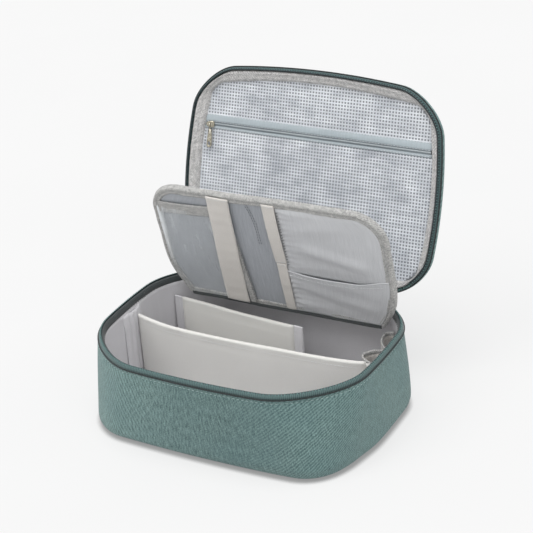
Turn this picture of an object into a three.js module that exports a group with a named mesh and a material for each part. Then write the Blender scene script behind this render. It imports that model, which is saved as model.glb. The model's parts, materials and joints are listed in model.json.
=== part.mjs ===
// Soft zip-round travel organizer: a fabric case with a hinged lid, a fold-out panel and loose dividers.
// Millimetres, +X right along the long side, +Y towards the hinge, +Z up.
// The origin is the middle of the bottom, on the surface that the case stands on.
import * as THREE from 'three';
import { LoftGeometry } from 'three/addons/geometries/LoftGeometry.js';

// ---------- driving dimensions ----------
const gap = 0.3;

// The case is widest at its foot; its rim is rounder and bows outwards.
const rimShape = {
  halfX: 125, halfY: 96.4, radius: 62, bowSide: 9.5, bowFront: 9.5, bowBack: 0.5, shiftX: 0, shiftY: 0,
};
const footShape = {
  halfX: 133, halfY: 90, radius: 50, bowSide: 4, bowFront: 4, bowBack: 0.5, shiftX: -1.2, shiftY: -3.4,
};
const footRounding = 8.3;
const seamHeight = 80.8;
const rimHeight = 86;

const fabricThickness = 1.2;
const foamThickness = 3.2;
const liningThickness = 0.8;
const foamInset = fabricThickness + gap;
const liningInset = foamInset + foamThickness + gap;
const innerInset = liningInset + liningThickness + gap;
const floorHeight = 6.6;

const lidShape = {
  halfX: 124, halfY: 93.5, radius: 38, bowSide: 9.5, bowFront: 9.5, bowBack: 0.3, shiftX: 0, shiftY: 0,
};
const lidHingeY = 97.4;
const lidOpening = 110.4;
const lidDepth = 15;
const lidEdgeDepth = 6.4;

const panelHingeY = 63;
const panelHingeZ = 78;
const panelOpening = 76.6;
const panelShift = 3;
const panelHalfWidth = 119;
const panelFootHalfWidth = 101;
const panelTop = 122.5;
const panelFoot = -7;
const panelRadius = 31;
const panelTaperEnd = 45;
const panelBoardHalf = 1.6;

const dividerTop = 71.5;
const dividerThickness = 4.4;
const rearDividerTop = 66;

// ---------- colours ----------
const teal = 0x68827f;
const darkTeal = 0x46605c;
const charcoal = 0x3c4242;
const lightGrey = 0xb9babb;
const warmGrey = 0xb4b0aa;
const foamWhite = 0xd8d8d4;
const meshWhite = 0xe2e6e8;
const clearFilm = 0xd4dcdf;
const zipGrey = 0xbcc4c7;
const metalGrey = 0xb9bcbf;

const fabric = (color) => new THREE.MeshStandardMaterial({ color, roughness: 0.9, metalness: 0 });
const plastic = (color) => new THREE.MeshStandardMaterial({ color, roughness: 0.4, metalness: 0 });
const metal = (color) => new THREE.MeshStandardMaterial({ color, roughness: 0.3, metalness: 1 });
const film = (color) => new THREE.MeshStandardMaterial({
  color, roughness: 0.15, metalness: 0, transparent: true, opacity: 0.35,
});

const degrees = THREE.MathUtils.degToRad;

// ---------- outlines ----------
const cornerSteps = 8;
const halfBackSteps = 3;
const frontSteps = 6;
const sideSteps = 4;

// A rounded rectangle whose front and sides bow outwards, anticlockwise from the middle of the back edge.
function roundedOutline(shape, inset = 0) {
  const halfX = shape.halfX - inset;
  const halfY = shape.halfY - inset;
  const radius = shape.radius - inset;
  const straightX = halfX - radius;
  const straightY = halfY - radius;
  const points = [];
  for (let i = 0; i < halfBackSteps; i++) {
    points.push(new THREE.Vector2(-straightX * i / halfBackSteps, halfY));
  }
  const addCorner = (signX, signY, start) => {
    for (let i = 0; i <= cornerSteps; i++) {
      const angle = degrees(start + 90 * i / cornerSteps);
      const x = signX * straightX + radius * Math.cos(angle);
      const y = signY * straightY + radius * Math.sin(angle);
      points.push(new THREE.Vector2(x, y));
    }
  };
  const addSide = (from, to, steps) => {
    for (let i = 1; i < steps; i++) {
      points.push(from.clone().lerp(to, i / steps));
    }
  };
  addCorner(-1, 1, 90);
  addSide(new THREE.Vector2(-halfX, straightY), new THREE.Vector2(-halfX, -straightY), sideSteps);
  addCorner(-1, -1, 180);
  addSide(new THREE.Vector2(-straightX, -halfY), new THREE.Vector2(straightX, -halfY), frontSteps);
  addCorner(1, -1, 270);
  addSide(new THREE.Vector2(halfX, -straightY), new THREE.Vector2(halfX, straightY), sideSteps);
  addCorner(1, 1, 0);
  addSide(new THREE.Vector2(straightX, halfY), new THREE.Vector2(0, halfY), halfBackSteps);
  for (const point of points) {
    const u = point.x / halfX;
    const v = point.y / halfY;
    const bowY = point.y < 0 ? shape.bowFront : shape.bowBack;
    point.x += Math.sign(u) * shape.bowSide * u ** 4 * (1 - v * v) + shape.shiftX;
    point.y += Math.sign(v) * bowY * v ** 4 * (1 - u * u) + shape.shiftY;
  }
  return points;
}

// The zip and its tape start and end on the back corners, this many points from the middle of the back.
const zipStart = halfBackSteps + cornerSteps / 2;

// A ring of points at one height, inset from the case's plain upright outline.
function ringAt(inset, height) {
  const foot = roundedOutline(footShape, inset);
  const rim = roundedOutline(rimShape, inset);
  const share = Math.min(height / seamHeight, 1);
  return foot.map((point, i) => {
    const mixed = point.clone().lerp(rim[i], share);
    return new THREE.Vector3(mixed.x, mixed.y, height);
  });
}

// The same on the case wall, which is rounded under at its foot.
function wallRing(inset, height) {
  const below = Math.max(footRounding - height, 0);
  const rounding = footRounding - Math.sqrt(footRounding ** 2 - below ** 2);
  return ringAt(inset + rounding, height);
}

// The lid's outline in the lid's own plane: x across, y away from the hinge.
function lidOutline(inset = 0) {
  const [first, ...rest] = roundedOutline(lidShape, inset).map(
    (point) => new THREE.Vector2(point.x, lidShape.halfY - point.y),
  );
  return [first, ...rest.reverse()];
}

// The fold-out panel's outline: narrow at its foot, with two round corners at the top.
function panelOutline(inset = 0) {
  const foot = panelFoot + inset;
  const top = panelTop - inset;
  const radius = panelRadius - inset;
  const halfWidth = panelHalfWidth - inset;
  const narrowing = (panelHalfWidth - panelFootHalfWidth) / (panelTaperEnd - panelFoot) ** 2;
  const right = [];
  const taperSteps = 6;
  for (let i = 0; i <= taperSteps; i++) {
    const y = foot + (panelTaperEnd - foot) * i / taperSteps;
    right.push(new THREE.Vector2(halfWidth - narrowing * (panelTaperEnd - y) ** 2, y));
  }
  for (let i = 0; i <= cornerSteps; i++) {
    const angle = degrees(90 * i / cornerSteps);
    const x = halfWidth - radius + radius * Math.cos(angle);
    right.push(new THREE.Vector2(x, top - radius + radius * Math.sin(angle)));
  }
  const left = right.map((point) => new THREE.Vector2(-point.x, point.y)).reverse();
  return [...right, ...left].map((point) => new THREE.Vector2(point.x + panelShift, point.y));
}

// Keeps the part of an outline whose y is above (or below) a line.
function clipAcross(points, limit, keepAbove) {
  const inside = (point) => (keepAbove ? point.y >= limit : point.y <= limit);
  const kept = [];
  points.forEach((point, i) => {
    const next = points[(i + 1) % points.length];
    if (inside(point)) {
      kept.push(point.clone());
    }
    if (inside(point) !== inside(next)) {
      kept.push(point.clone().lerp(next, (limit - point.y) / (next.y - point.y)));
    }
  });
  return kept;
}

// ---------- solids ----------
function slab(outline, low, high) {
  const shape = new THREE.Shape(outline);
  const options = { depth: high - low, bevelEnabled: false, curveSegments: 1 };
  return new THREE.ExtrudeGeometry(shape, options).translate(0, 0, low);
}

// A flat ring between two matching outlines, anticlockwise.
function ringBand(outer, inner, low, high) {
  const at = (outline, height) => outline.map((point) => new THREE.Vector3(point.x, point.y, height));
  const start = at(outer, low);
  return new LoftGeometry([start, at(outer, high), at(inner, high), at(inner, low), start]);
}

function rectangle(x0, x1, y0, y1) {
  return [[x0, y0], [x1, y0], [x1, y1], [x0, y1]].map(([x, y]) => new THREE.Vector2(x, y));
}

function polygon(...corners) {
  return corners.map(([x, y]) => new THREE.Vector2(x, y));
}

// A thin strip that follows a line of plan points.
function ribbon(line, thickness) {
  const sides = [1, -1].map((side) => line.map((point, i) => {
    const before = line[Math.max(i - 1, 0)];
    const after = line[Math.min(i + 1, line.length - 1)];
    const along = after.clone().sub(before).normalize();
    const normal = new THREE.Vector2(-along.y, along.x);
    return point.clone().addScaledVector(normal, side * thickness / 2);
  }));
  return [...sides[0], ...sides[1].reverse()];
}

// The part of two nested outlines that the zip follows, as one open strip.
function zipStrip(outer, inner) {
  const keep = (outline) => outline.slice(zipStart, outline.length - zipStart + 1);
  return [...keep(outer), ...keep(inner).reverse()];
}

// A wall that goes all round the case, between two insets and two heights.
function wallBand(outsideInset, insideInset, low, high) {
  const steps = 4;
  const heights = Array.from({ length: steps + 1 }, (_, i) => low + (high - low) * i / steps);
  const outside = heights.map((height) => wallRing(outsideInset, height));
  const inside = heights.map((height) => wallRing(insideInset, height)).reverse();
  return new LoftGeometry([...outside, ...inside, outside[0]]);
}

// The outer fabric of the wall, with its rounded foot.
function outerWall() {
  const turns = [0, 22.5, 45, 67.5].map(degrees);
  const turned = (radius) => turns.map(
    (turn) => ringAt(footRounding - radius * Math.sin(turn), footRounding - radius * Math.cos(turn)),
  );
  const steps = 4;
  const rise = (seamHeight - footRounding) / steps;
  const heights = Array.from({ length: steps + 1 }, (_, i) => footRounding + rise * i);
  const upright = (inset) => heights.map((height) => ringAt(inset, height));
  const outside = [...turned(footRounding), ...upright(0)];
  const inside = [...turned(footRounding - fabricThickness), ...upright(fabricThickness)].reverse();
  return new LoftGeometry([...outside, ...inside, outside[0]]);
}

const model = new THREE.Group();

function add(parent, name, geometry, material) {
  const mesh = new THREE.Mesh(geometry, material);
  mesh.name = name;
  parent.add(mesh);
  return mesh;
}

const rim = (inset) => roundedOutline(rimShape, inset);

// ---------- case body ----------
function addCaseShell() {
  const wallStart = footRounding + gap;
  const foamTop = 78;
  const boardInset = 10;
  const boardLow = fabricThickness + gap;
  const boardHigh = 5.5;
  const bottom = roundedOutline(footShape, footRounding + gap);
  add(model, 'base_bottom_fabric', slab(bottom, 0, fabricThickness), fabric(teal));
  add(model, 'base_wall_fabric', outerWall(), fabric(teal));
  const foamWall = wallBand(foamInset, foamInset + foamThickness, wallStart, foamTop);
  add(model, 'base_wall_foam', foamWall, fabric(foamWhite));
  const board = roundedOutline(footShape, boardInset);
  add(model, 'base_bottom_board', slab(board, boardLow, boardHigh), plastic(foamWhite));
  add(model, 'base_lining_floor', slab(board, boardHigh + gap, floorHeight), fabric(lightGrey));
  const lining = wallBand(liningInset, liningInset + liningThickness, wallStart, foamTop - gap);
  add(model, 'base_lining_wall', lining, fabric(lightGrey));
}

function addCaseRim() {
  const pipingLow = seamHeight + gap;
  const pipingHigh = 82.7;
  const pipingOut = 0.6;
  const tapeInset = 1.2;
  const tapeTop = 84.3;
  const coilInset = 1.4;
  const coilWidth = 2.4;
  const bindingLow = 78.3;
  const bindingInset = 4.2;
  const piping = ringBand(rim(-pipingOut), rim(0.9), pipingLow, pipingHigh);
  add(model, 'base_rim_piping', piping, fabric(charcoal));
  const tape = zipStrip(rim(tapeInset), rim(tapeInset + 1));
  add(model, 'base_zip_tape', slab(tape, pipingLow, tapeTop), fabric(darkTeal));
  const coil = zipStrip(rim(coilInset), rim(coilInset + coilWidth));
  add(model, 'base_zip_coil', slab(coil, tapeTop + gap, rimHeight), plastic(darkTeal));
  const binding = ringBand(rim(bindingInset), rim(bindingInset + 1.2), bindingLow, tapeTop);
  add(model, 'base_rim_binding', binding, fabric(charcoal));
}

// ---------- dividers and side pocket ----------
const dividerLow = floorHeight + gap;

function addFrontDivider() {
  const left = -125;
  const right = 114;
  const middleY = -5;
  const bow = 8;
  const steps = 12;
  const line = Array.from({ length: steps + 1 }, (_, i) => {
    const x = left + (right - left) * i / steps;
    return new THREE.Vector2(x, middleY + bow * (x / right) ** 4);
  });
  const divider = slab(ribbon(line, dividerThickness), dividerLow, dividerTop);
  add(model, 'front_divider', divider, fabric(lightGrey));
  const tabThickness = 1.2;
  const tabLow = 14;
  const tabHigh = 68;
  const wallX = -127.2;
  const leftTab = polygon([wallX, -14], [wallX, 0], [wallX, 14]);
  const leftSolid = slab(ribbon(leftTab, tabThickness), tabLow, tabHigh);
  add(model, 'front_divider_tab_left', leftSolid, fabric(warmGrey));
  const rightTab = polygon([115.6, 2], [119.5, 0.5], [123, -3], [125.6, -9], [126, -17]);
  const rightSolid = slab(ribbon(rightTab, tabThickness), tabLow, tabHigh);
  add(model, 'front_divider_tab_right', rightSolid, fabric(warmGrey));
}

function addRearDivider() {
  const start = new THREE.Vector2(-107.5, 58);
  const end = new THREE.Vector2(20, 46);
  const along = end.clone().sub(start).normalize();
  const tabLength = 9;
  const tabThickness = 2;
  add(model, 'rear_divider', slab(ribbon([start, end], dividerThickness), dividerLow, rearDividerTop),
    fabric(lightGrey));
  const beyond = (point, distance) => point.clone().addScaledVector(along, distance);
  const leftTab = [beyond(start, -tabLength), beyond(start, -gap)];
  const rightTab = [beyond(end, gap), beyond(end, tabLength)];
  add(model, 'rear_divider_tab_left', slab(ribbon(leftTab, tabThickness), dividerLow, rearDividerTop),
    fabric(warmGrey));
  add(model, 'rear_divider_tab_right', slab(ribbon(rightTab, tabThickness), dividerLow, rearDividerTop),
    fabric(warmGrey));
}

// Two bottle cells of elastic along the right wall, behind the front divider.
function addSidePocket() {
  const cells = [{ from: 6, to: 32, bulge: 24 }, { from: 32, to: 64, bulge: 15 }];
  const steps = 8;
  const clearance = 1;
  const thickness = 1;
  const pocketTop = 64;
  const hemTop = 68;
  const rightSide = rim(innerInset).filter((point) => point.x > 0 && point.y > -20);
  const innerLine = rightSide.sort((a, b) => a.y - b.y);
  const wallX = (y) => {
    const next = innerLine.findIndex((point) => point.y > y);
    const before = innerLine[next - 1];
    const after = innerLine[next];
    return THREE.MathUtils.mapLinear(y, before.y, after.y, before.x, after.x);
  };
  const line = [];
  cells.forEach((cell, n) => {
    for (let i = n === 0 ? 0 : 1; i <= steps; i++) {
      const y = cell.from + (cell.to - cell.from) * i / steps;
      const x = wallX(y) - clearance - cell.bulge * Math.sin(Math.PI * i / steps);
      line.push(new THREE.Vector2(x, y));
    }
  });
  const sheet = slab(ribbon(line, thickness), dividerLow, pocketTop);
  add(model, 'side_pocket_elastic', sheet, fabric(warmGrey));
  const hem = slab(ribbon(line, 1.6 * thickness), pocketTop + gap, hemTop);
  add(model, 'side_pocket_hem', hem, fabric(lightGrey));
}

// ---------- lid ----------
const lid = new THREE.Group();
lid.position.set(0, lidHingeY, rimHeight);
lid.rotation.x = degrees(180 - lidOpening);
model.add(lid);

function addLidShell() {
  const skin = 1.2;
  const outerLow = -lidDepth;
  const boardHigh = -9.5;
  const liningHigh = -8.6;
  const boardInset = skin + gap;
  add(lid, 'lid_outer_panel', slab(lidOutline(0), outerLow, outerLow + skin), fabric(teal));
  const side = ringBand(lidOutline(0), lidOutline(skin), outerLow + skin + gap, -lidEdgeDepth - gap);
  add(lid, 'lid_side_strip', side, fabric(teal));
  add(lid, 'lid_board', slab(lidOutline(boardInset), outerLow + skin + gap, boardHigh), plastic(foamWhite));
  add(lid, 'lid_lining', slab(lidOutline(boardInset), boardHigh + gap, liningHigh), fabric(lightGrey));
}

function addLidRim() {
  const pipingOut = 0.6;
  const pipingHigh = -4.8;
  const tapeInset = 1.2;
  const tapeHigh = -1.9;
  const coilInset = 1.4;
  const coilWidth = 2.4;
  const bindingInset = 5;
  const bindingWidth = 10;
  const piping = ringBand(lidOutline(-pipingOut), lidOutline(0.9), -lidEdgeDepth, pipingHigh);
  add(lid, 'lid_rim_piping', piping, fabric(charcoal));
  const tape = zipStrip(lidOutline(tapeInset), lidOutline(tapeInset + 1));
  add(lid, 'lid_zip_tape', slab(tape, -lidEdgeDepth, tapeHigh), fabric(darkTeal));
  const coil = zipStrip(lidOutline(coilInset), lidOutline(coilInset + coilWidth));
  add(lid, 'lid_zip_coil', slab(coil, tapeHigh + gap, -gap), plastic(darkTeal));
  const bandInner = lidOutline(bindingInset + bindingWidth);
  add(lid, 'lid_binding', ringBand(lidOutline(bindingInset), bandInner, -7, -6.2), fabric(lightGrey));
}

// Two flat mesh pockets with a zip across between them.
const coilMiddle = 132.5;
const pocketZipLeft = -110;

function addMeshPockets() {
  const meshLow = -8.2;
  const meshHigh = -7.6;
  const meshInset = 7;
  const lowerTop = 129;
  const lowerTapeTop = 130.6;
  const coilLow = 131;
  const coilHigh = 134;
  const upperTapeLow = 134.3;
  const upperTapeTop = 142.5;
  const zipHalf = 114;
  const outline = lidOutline(meshInset);
  const lower = clipAcross(outline, lowerTop, false);
  add(lid, 'mesh_pocket_lower', slab(lower, meshLow, meshHigh), film(meshWhite));
  const upper = clipAcross(outline, upperTapeTop + gap, true);
  add(lid, 'mesh_pocket_upper', slab(upper, meshLow, meshHigh), film(meshWhite));
  const lowerTape = rectangle(-zipHalf, zipHalf, lowerTop + gap, lowerTapeTop);
  add(lid, 'pocket_zip_tape_lower', slab(lowerTape, meshLow, meshHigh), fabric(zipGrey));
  const upperTape = rectangle(-zipHalf, zipHalf, upperTapeLow, upperTapeTop);
  add(lid, 'pocket_zip_tape_upper', slab(upperTape, meshLow, meshHigh), fabric(zipGrey));
  const coil = rectangle(-zipHalf, zipHalf, coilLow, coilHigh - gap);
  add(lid, 'pocket_zip_coil', slab(coil, meshLow, -7.2), plastic(zipGrey));
}

// A slider seen from above: a rounded wedge, wider at its mouth.
function sliderOutline(length, width, noseWidth) {
  const shape = new THREE.Shape();
  const half = length / 2;
  shape.moveTo(-half, -noseWidth / 2);
  shape.quadraticCurveTo(0, -noseWidth / 2, half * 0.5, -width / 2);
  shape.lineTo(half, -width * 0.4);
  shape.lineTo(half, width * 0.4);
  shape.lineTo(half * 0.5, width / 2);
  shape.quadraticCurveTo(0, noseWidth / 2, -half, noseWidth / 2);
  return shape.getPoints(6);
}

// A flat pull with round ends and a hole near its free end, hanging along -y from its pivot at the origin.
function pullGeometry(length, width, thickness) {
  const top = 0.8;
  const radius = width / 2;
  const shape = new THREE.Shape();
  shape.moveTo(-radius * 0.7, -top);
  shape.lineTo(-radius, -top - 2);
  shape.lineTo(-radius, -length + radius);
  shape.absarc(0, -length + radius, radius, Math.PI, 2 * Math.PI, false);
  shape.lineTo(radius, -top - 2);
  shape.lineTo(radius * 0.7, -top);
  const hole = new THREE.Path();
  hole.absarc(0, -length + radius, radius * 0.5, 0, 2 * Math.PI, true);
  shape.holes.push(hole);
  const options = { depth: thickness, bevelEnabled: false, curveSegments: 8 };
  return new THREE.ExtrudeGeometry(shape, options).translate(0, 0, -thickness / 2);
}

function addPocketSlider() {
  const bodyLow = -6.9;
  const bodyHigh = -4.4;
  const pivotY = 129;
  const pullHeight = -5.8;
  const body = slab(sliderOutline(8, 6.4, 4.6), bodyLow, bodyHigh);
  body.translate(pocketZipLeft, coilMiddle + 1.2, 0);
  add(lid, 'pocket_slider', body, metal(metalGrey));
  const pull = pullGeometry(19, 5.4, 1.2).translate(pocketZipLeft, pivotY, pullHeight);
  add(lid, 'pocket_pull', pull, metal(metalGrey));
}

// ---------- fold-out panel ----------
const panel = new THREE.Group();
panel.position.set(0, panelHingeY, panelHingeZ);
panel.rotation.x = degrees(180 - panelOpening);
model.add(panel);

function addPanelBody() {
  const skin = 0.6;
  const faceInset = 1.5;
  const faceLow = panelBoardHalf + gap;
  const face = panelOutline(faceInset);
  const faceHigh = faceLow + skin;
  add(panel, 'panel_board', slab(face, -panelBoardHalf, panelBoardHalf), plastic(foamWhite));
  add(panel, 'panel_front_lining', slab(face, faceLow, faceHigh), fabric(charcoal));
  add(panel, 'panel_back_lining', slab(face, -faceHigh, -faceLow), fabric(lightGrey));
  const edge = ringBand(panelOutline(0), panelOutline(faceInset - gap), -faceHigh, faceHigh);
  add(panel, 'panel_binding', edge, fabric(lightGrey));
}

function addPanelPockets() {
  const layer = (low) => [low, low + 0.5];
  const lowest = -2.4;
  const [coverLow, coverHigh] = layer(2.9);
  const coverFoot = [[-103, lowest], [-34, lowest]];
  const cover = polygon(...coverFoot, [-43, 87], [-60, 92], [-100, 92], [-109, 88], [-109, 20]);
  add(panel, 'brush_cover', slab(cover, coverLow, coverHigh), film(clearFilm));
  const topBand = polygon([-61, 93], [-61, 103], [-102, 103], [-107, 93]);
  add(panel, 'brush_cover_band_top', slab(topBand, coverLow, coverHigh), fabric(lightGrey));
  const sideBand = polygon([-33.6, lowest], [-26.5, lowest], [-35.5, 88], [-42.6, 88]);
  add(panel, 'brush_cover_band_side', slab(sideBand, coverLow, coverHigh), fabric(lightGrey));
  const upper = polygon([16, 44.3], [119, 44.3], [119, 92], [108, 112], [90, 117], [16, 117]);
  add(panel, 'slip_pocket_upper', slab(upper, ...layer(2.9)), fabric(lightGrey));
  const lower = polygon([16, lowest], [104.5, lowest], [113.5, 15], [117.5, 43.5], [16, 43.5]);
  add(panel, 'slip_pocket_lower', slab(lower, ...layer(2.9)), fabric(lightGrey));
}

function addPanelStraps() {
  const low = 3.8;
  const high = 4.6;
  const start = -2.4;
  const wide = polygon([-60, start], [-36, start], [-33.5, 119], [-57.5, 119]);
  add(panel, 'wide_brush_strap', slab(wide, low, high), fabric(warmGrey));
  const upper = polygon([3, 50], [13.6, 50], [13.6, 118], [1, 118]);
  add(panel, 'narrow_brush_strap_upper', slab(upper, low, high), fabric(warmGrey));
  const lower = polygon([5, start], [12, start], [13, 49.5], [4.5, 49.5]);
  add(panel, 'narrow_brush_strap_lower', slab(lower, low, high), fabric(warmGrey));
  const foot = rectangle(-97, 103, panelFoot + 0.5, start - gap);
  add(panel, 'panel_foot_tape', slab(foot, 2.9, 3.6), fabric(charcoal));
}

// The web that ties the panel's foot to the back wall of the case.
function addPanelWeb() {
  const front = 73;
  const web = clipAcross(rim(innerInset + gap), front, true);
  add(model, 'panel_web', slab(web, 76.5, 77.5), fabric(lightGrey));
}

// ---------- main zip sliders, parked on the back corners ----------
function addMainSlider(side, name) {
  const angle = degrees(90 - 38.5);
  const radius = rimShape.radius;
  const bodyInset = 2;
  const bodyThickness = 3.6;
  const bodyLow = 83.4;
  const pullOut = 1.9;
  const pivotHeight = 86;
  const seat = new THREE.Group();
  seat.position.x = side * (rimShape.halfX - radius + (radius + 0.6) * Math.cos(angle));
  seat.position.y = rimShape.halfY - radius + (radius + 0.6) * Math.sin(angle);
  seat.rotation.z = side > 0 ? angle - Math.PI / 2 : Math.PI / 2 - angle;
  model.add(seat);
  const body = slab(sliderOutline(9, 5.2, 3.6), -bodyThickness / 2, bodyThickness / 2);
  body.rotateX(Math.PI / 2).translate(0, -bodyInset, bodyLow + 2.6);
  add(seat, `main_slider_${name}`, body, metal(metalGrey));
  const pull = pullGeometry(20, 6, 1.2).rotateX(Math.PI / 2).translate(0, pullOut, pivotHeight);
  add(seat, `main_pull_${name}`, pull, metal(metalGrey));
}

addCaseShell();
addCaseRim();
addFrontDivider();
addRearDivider();
addSidePocket();
addLidShell();
addLidRim();
addMeshPockets();
addPocketSlider();
addPanelBody();
addPanelPockets();
addPanelStraps();
addPanelWeb();
addMainSlider(-1, 'left');
addMainSlider(1, 'right');

export default model;
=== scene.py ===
import json
import math

import bmesh
import bpy
import numpy as np
from mathutils import Matrix, Vector


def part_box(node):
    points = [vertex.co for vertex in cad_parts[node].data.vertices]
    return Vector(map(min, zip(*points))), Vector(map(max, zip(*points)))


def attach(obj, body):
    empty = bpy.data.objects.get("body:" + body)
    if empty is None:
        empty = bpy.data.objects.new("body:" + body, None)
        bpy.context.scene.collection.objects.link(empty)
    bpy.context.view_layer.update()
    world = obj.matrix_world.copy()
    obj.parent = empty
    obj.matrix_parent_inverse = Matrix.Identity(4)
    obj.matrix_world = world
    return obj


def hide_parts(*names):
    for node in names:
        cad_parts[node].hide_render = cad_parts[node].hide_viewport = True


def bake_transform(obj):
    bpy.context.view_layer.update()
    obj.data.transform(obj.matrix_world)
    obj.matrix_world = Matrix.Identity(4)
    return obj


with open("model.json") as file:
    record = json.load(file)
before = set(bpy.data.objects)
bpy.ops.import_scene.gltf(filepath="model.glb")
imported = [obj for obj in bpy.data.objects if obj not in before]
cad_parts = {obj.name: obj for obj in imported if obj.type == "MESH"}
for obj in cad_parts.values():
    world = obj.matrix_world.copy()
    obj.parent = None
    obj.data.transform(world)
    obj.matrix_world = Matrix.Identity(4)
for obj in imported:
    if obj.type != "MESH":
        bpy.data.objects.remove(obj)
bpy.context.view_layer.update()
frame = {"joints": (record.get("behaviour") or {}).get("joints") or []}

# ---------------------------------------------------------------- driving sizes, in millimetres
MM = 0.001
JOINTS = {joint["name"]: joint for joint in frame["joints"]}
LID_OPENING = math.radians(110.4)
PANEL_OPENING = math.radians(76.6)


def joint_place(name):
    return np.array(JOINTS[name]["pos_m"]) / MM


def top_of(node):
    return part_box(node)[1][2] / MM


SEAM_HEIGHT = top_of("base_wall_fabric")
RIM_HEIGHT = top_of("base_zip_coil")
FLOOR_HEIGHT = top_of("base_lining_floor")

# The rim is the CAD's. The foot was matched to the photo's fabric edge after the CAD was packed, and it
# lies up to 7.5 mm from the CAD's foot. The lid is 1.6 mm shorter than the CAD's, so that the coils can meet.
RIM = dict(half_x=125.0, half_y=96.4, radius=62.0, bow_side=9.5, bow_front=9.5, bow_back=0.5, x=0.0, y=0.0)
FOOT = dict(half_x=132.3, half_y=88.7, radius=43.5, bow_side=2.0, bow_front=5.7, bow_back=0.5, x=-1.2, y=-3.7)
LID = dict(half_x=124.0, half_y=92.7, radius=38.0, bow_side=9.5, bow_front=9.5, bow_back=0.3, x=0.0, y=0.0)
FOOT_ROUNDING = 8.7
FOOT_TUCK = 6.6
WALL_SWAY = 0.95


# ---------------------------------------------------------------- numbers and noise
NOISE_CELLS = 64


def value_noise(x, y, seed):
    """Smooth noise from -1 to 1 over any two arrays, one bump per unit."""
    lattice = np.random.RandomState(seed).rand(NOISE_CELLS, NOISE_CELLS) * 2 - 1
    x, y = np.broadcast_arrays(np.asarray(x, float), np.asarray(y, float))
    x0, y0 = np.floor(x).astype(int), np.floor(y).astype(int)
    fx, fy = x - x0, y - y0
    fx, fy = fx * fx * (3 - 2 * fx), fy * fy * (3 - 2 * fy)
    a = lattice[x0 % NOISE_CELLS, y0 % NOISE_CELLS]
    b = lattice[(x0 + 1) % NOISE_CELLS, y0 % NOISE_CELLS]
    c = lattice[x0 % NOISE_CELLS, (y0 + 1) % NOISE_CELLS]
    d = lattice[(x0 + 1) % NOISE_CELLS, (y0 + 1) % NOISE_CELLS]
    return (a * (1 - fx) + b * fx) * (1 - fy) + (c * (1 - fx) + d * fx) * fy


def smoothstep(low, high, value):
    t = np.clip((np.asarray(value, float) - low) / (high - low), 0, 1)
    return t * t * (3 - 2 * t)


# ---------------------------------------------------------------- outlines
CORNER_STEPS = 22
SIDE_STEPS = 18
FRONT_STEPS = 26


def rounded_outline(shape, inset=0.0):
    """A rounded rectangle with bowed sides, anticlockwise from the middle of the back edge: (n, 2)."""
    half_x, half_y = shape["half_x"] - inset, shape["half_y"] - inset
    radius = shape["radius"] - inset
    sx, sy = half_x - radius, half_y - radius
    half_back = FRONT_STEPS // 2
    parts = [np.column_stack([np.linspace(0, -sx, half_back, endpoint=False), np.full(half_back, half_y)])]

    def corner(sign_x, sign_y, start):
        angle = np.radians(start + np.linspace(0, 90, CORNER_STEPS + 1))
        return np.column_stack([sign_x * sx + radius * np.cos(angle), sign_y * sy + radius * np.sin(angle)])

    def side(start, end, steps):
        t = np.linspace(0, 1, steps + 1)[1:-1, None]
        return np.array(start) * (1 - t) + np.array(end) * t

    parts += [corner(-1, 1, 90), side((-half_x, sy), (-half_x, -sy), SIDE_STEPS)]
    parts += [corner(-1, -1, 180), side((-sx, -half_y), (sx, -half_y), FRONT_STEPS)]
    parts += [corner(1, -1, 270), side((half_x, -sy), (half_x, sy), SIDE_STEPS)]
    parts += [corner(1, 1, 0), side((sx, half_y), (0, half_y), half_back)]
    points = np.vstack(parts)
    u, v = points[:, 0] / half_x, points[:, 1] / half_y
    bow_y = np.where(v < 0, shape["bow_front"], shape["bow_back"])
    x = points[:, 0] + np.sign(u) * shape["bow_side"] * u**4 * (1 - v * v) + shape["x"]
    y = points[:, 1] + np.sign(v) * bow_y * v**4 * (1 - u * u) + shape["y"]
    return np.column_stack([x, y])


POINTS_AROUND = len(rounded_outline(RIM))
ZIP_FIRST = FRONT_STEPS // 2 + CORNER_STEPS // 2
ZIP_LAST = POINTS_AROUND - ZIP_FIRST


def foot_outline(inset=0.0):
    """The outline the case stands on; its front right corner is soft and tucks in."""
    plan = rounded_outline(FOOT, inset)
    turn = np.arctan2(plan[:, 1] / FOOT["half_y"], plan[:, 0] / FOOT["half_x"])
    return plan - outward(plan) * (FOOT_TUCK * np.exp(-((turn + 0.6) / 0.26) ** 2))[:, None]


def wall_ring(inset, height, push=0.0):
    """Points on the case wall at one height; push moves them out along the wall's normal."""
    below = max(FOOT_ROUNDING - height, 0)
    rounding = FOOT_ROUNDING - math.sqrt(FOOT_ROUNDING**2 - below**2)
    share = min(height / SEAM_HEIGHT, 1)
    plain = foot_outline(inset + rounding) * (1 - share) + rounded_outline(RIM, inset) * share
    plain[:, 0] += WALL_SWAY * math.sin(math.pi * share)
    plain = plain + outward(plain) * np.broadcast_to(push, (POINTS_AROUND,))[:, None]
    return at_height(plain, height)


def outward(points):
    """Unit normals that point out of a closed anticlockwise outline."""
    along = np.roll(points, -1, 0) - np.roll(points, 1, 0)
    along /= np.linalg.norm(along, axis=1)[:, None]
    return np.column_stack([along[:, 1], -along[:, 0]])


def left_normals(line):
    """Unit normals on the left of an open plan line."""
    along = np.gradient(line, axis=0)
    along /= np.linalg.norm(along, axis=1)[:, None]
    return np.column_stack([-along[:, 1], along[:, 0]])


def flat_normals(plan):
    """The outward normals of a plan outline, as level 3-D vectors."""
    return at_height(outward(plan), 0)


def line_of(x, y, z):
    """A line of points; any of its coordinates may be one number."""
    return np.column_stack(np.broadcast_arrays(*(np.asarray(part, float) for part in (x, y, z))))


def at_height(plan, height):
    """A plan line raised to one height, or to one height for each point."""
    return line_of(plan[:, 0], plan[:, 1], height)


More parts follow.
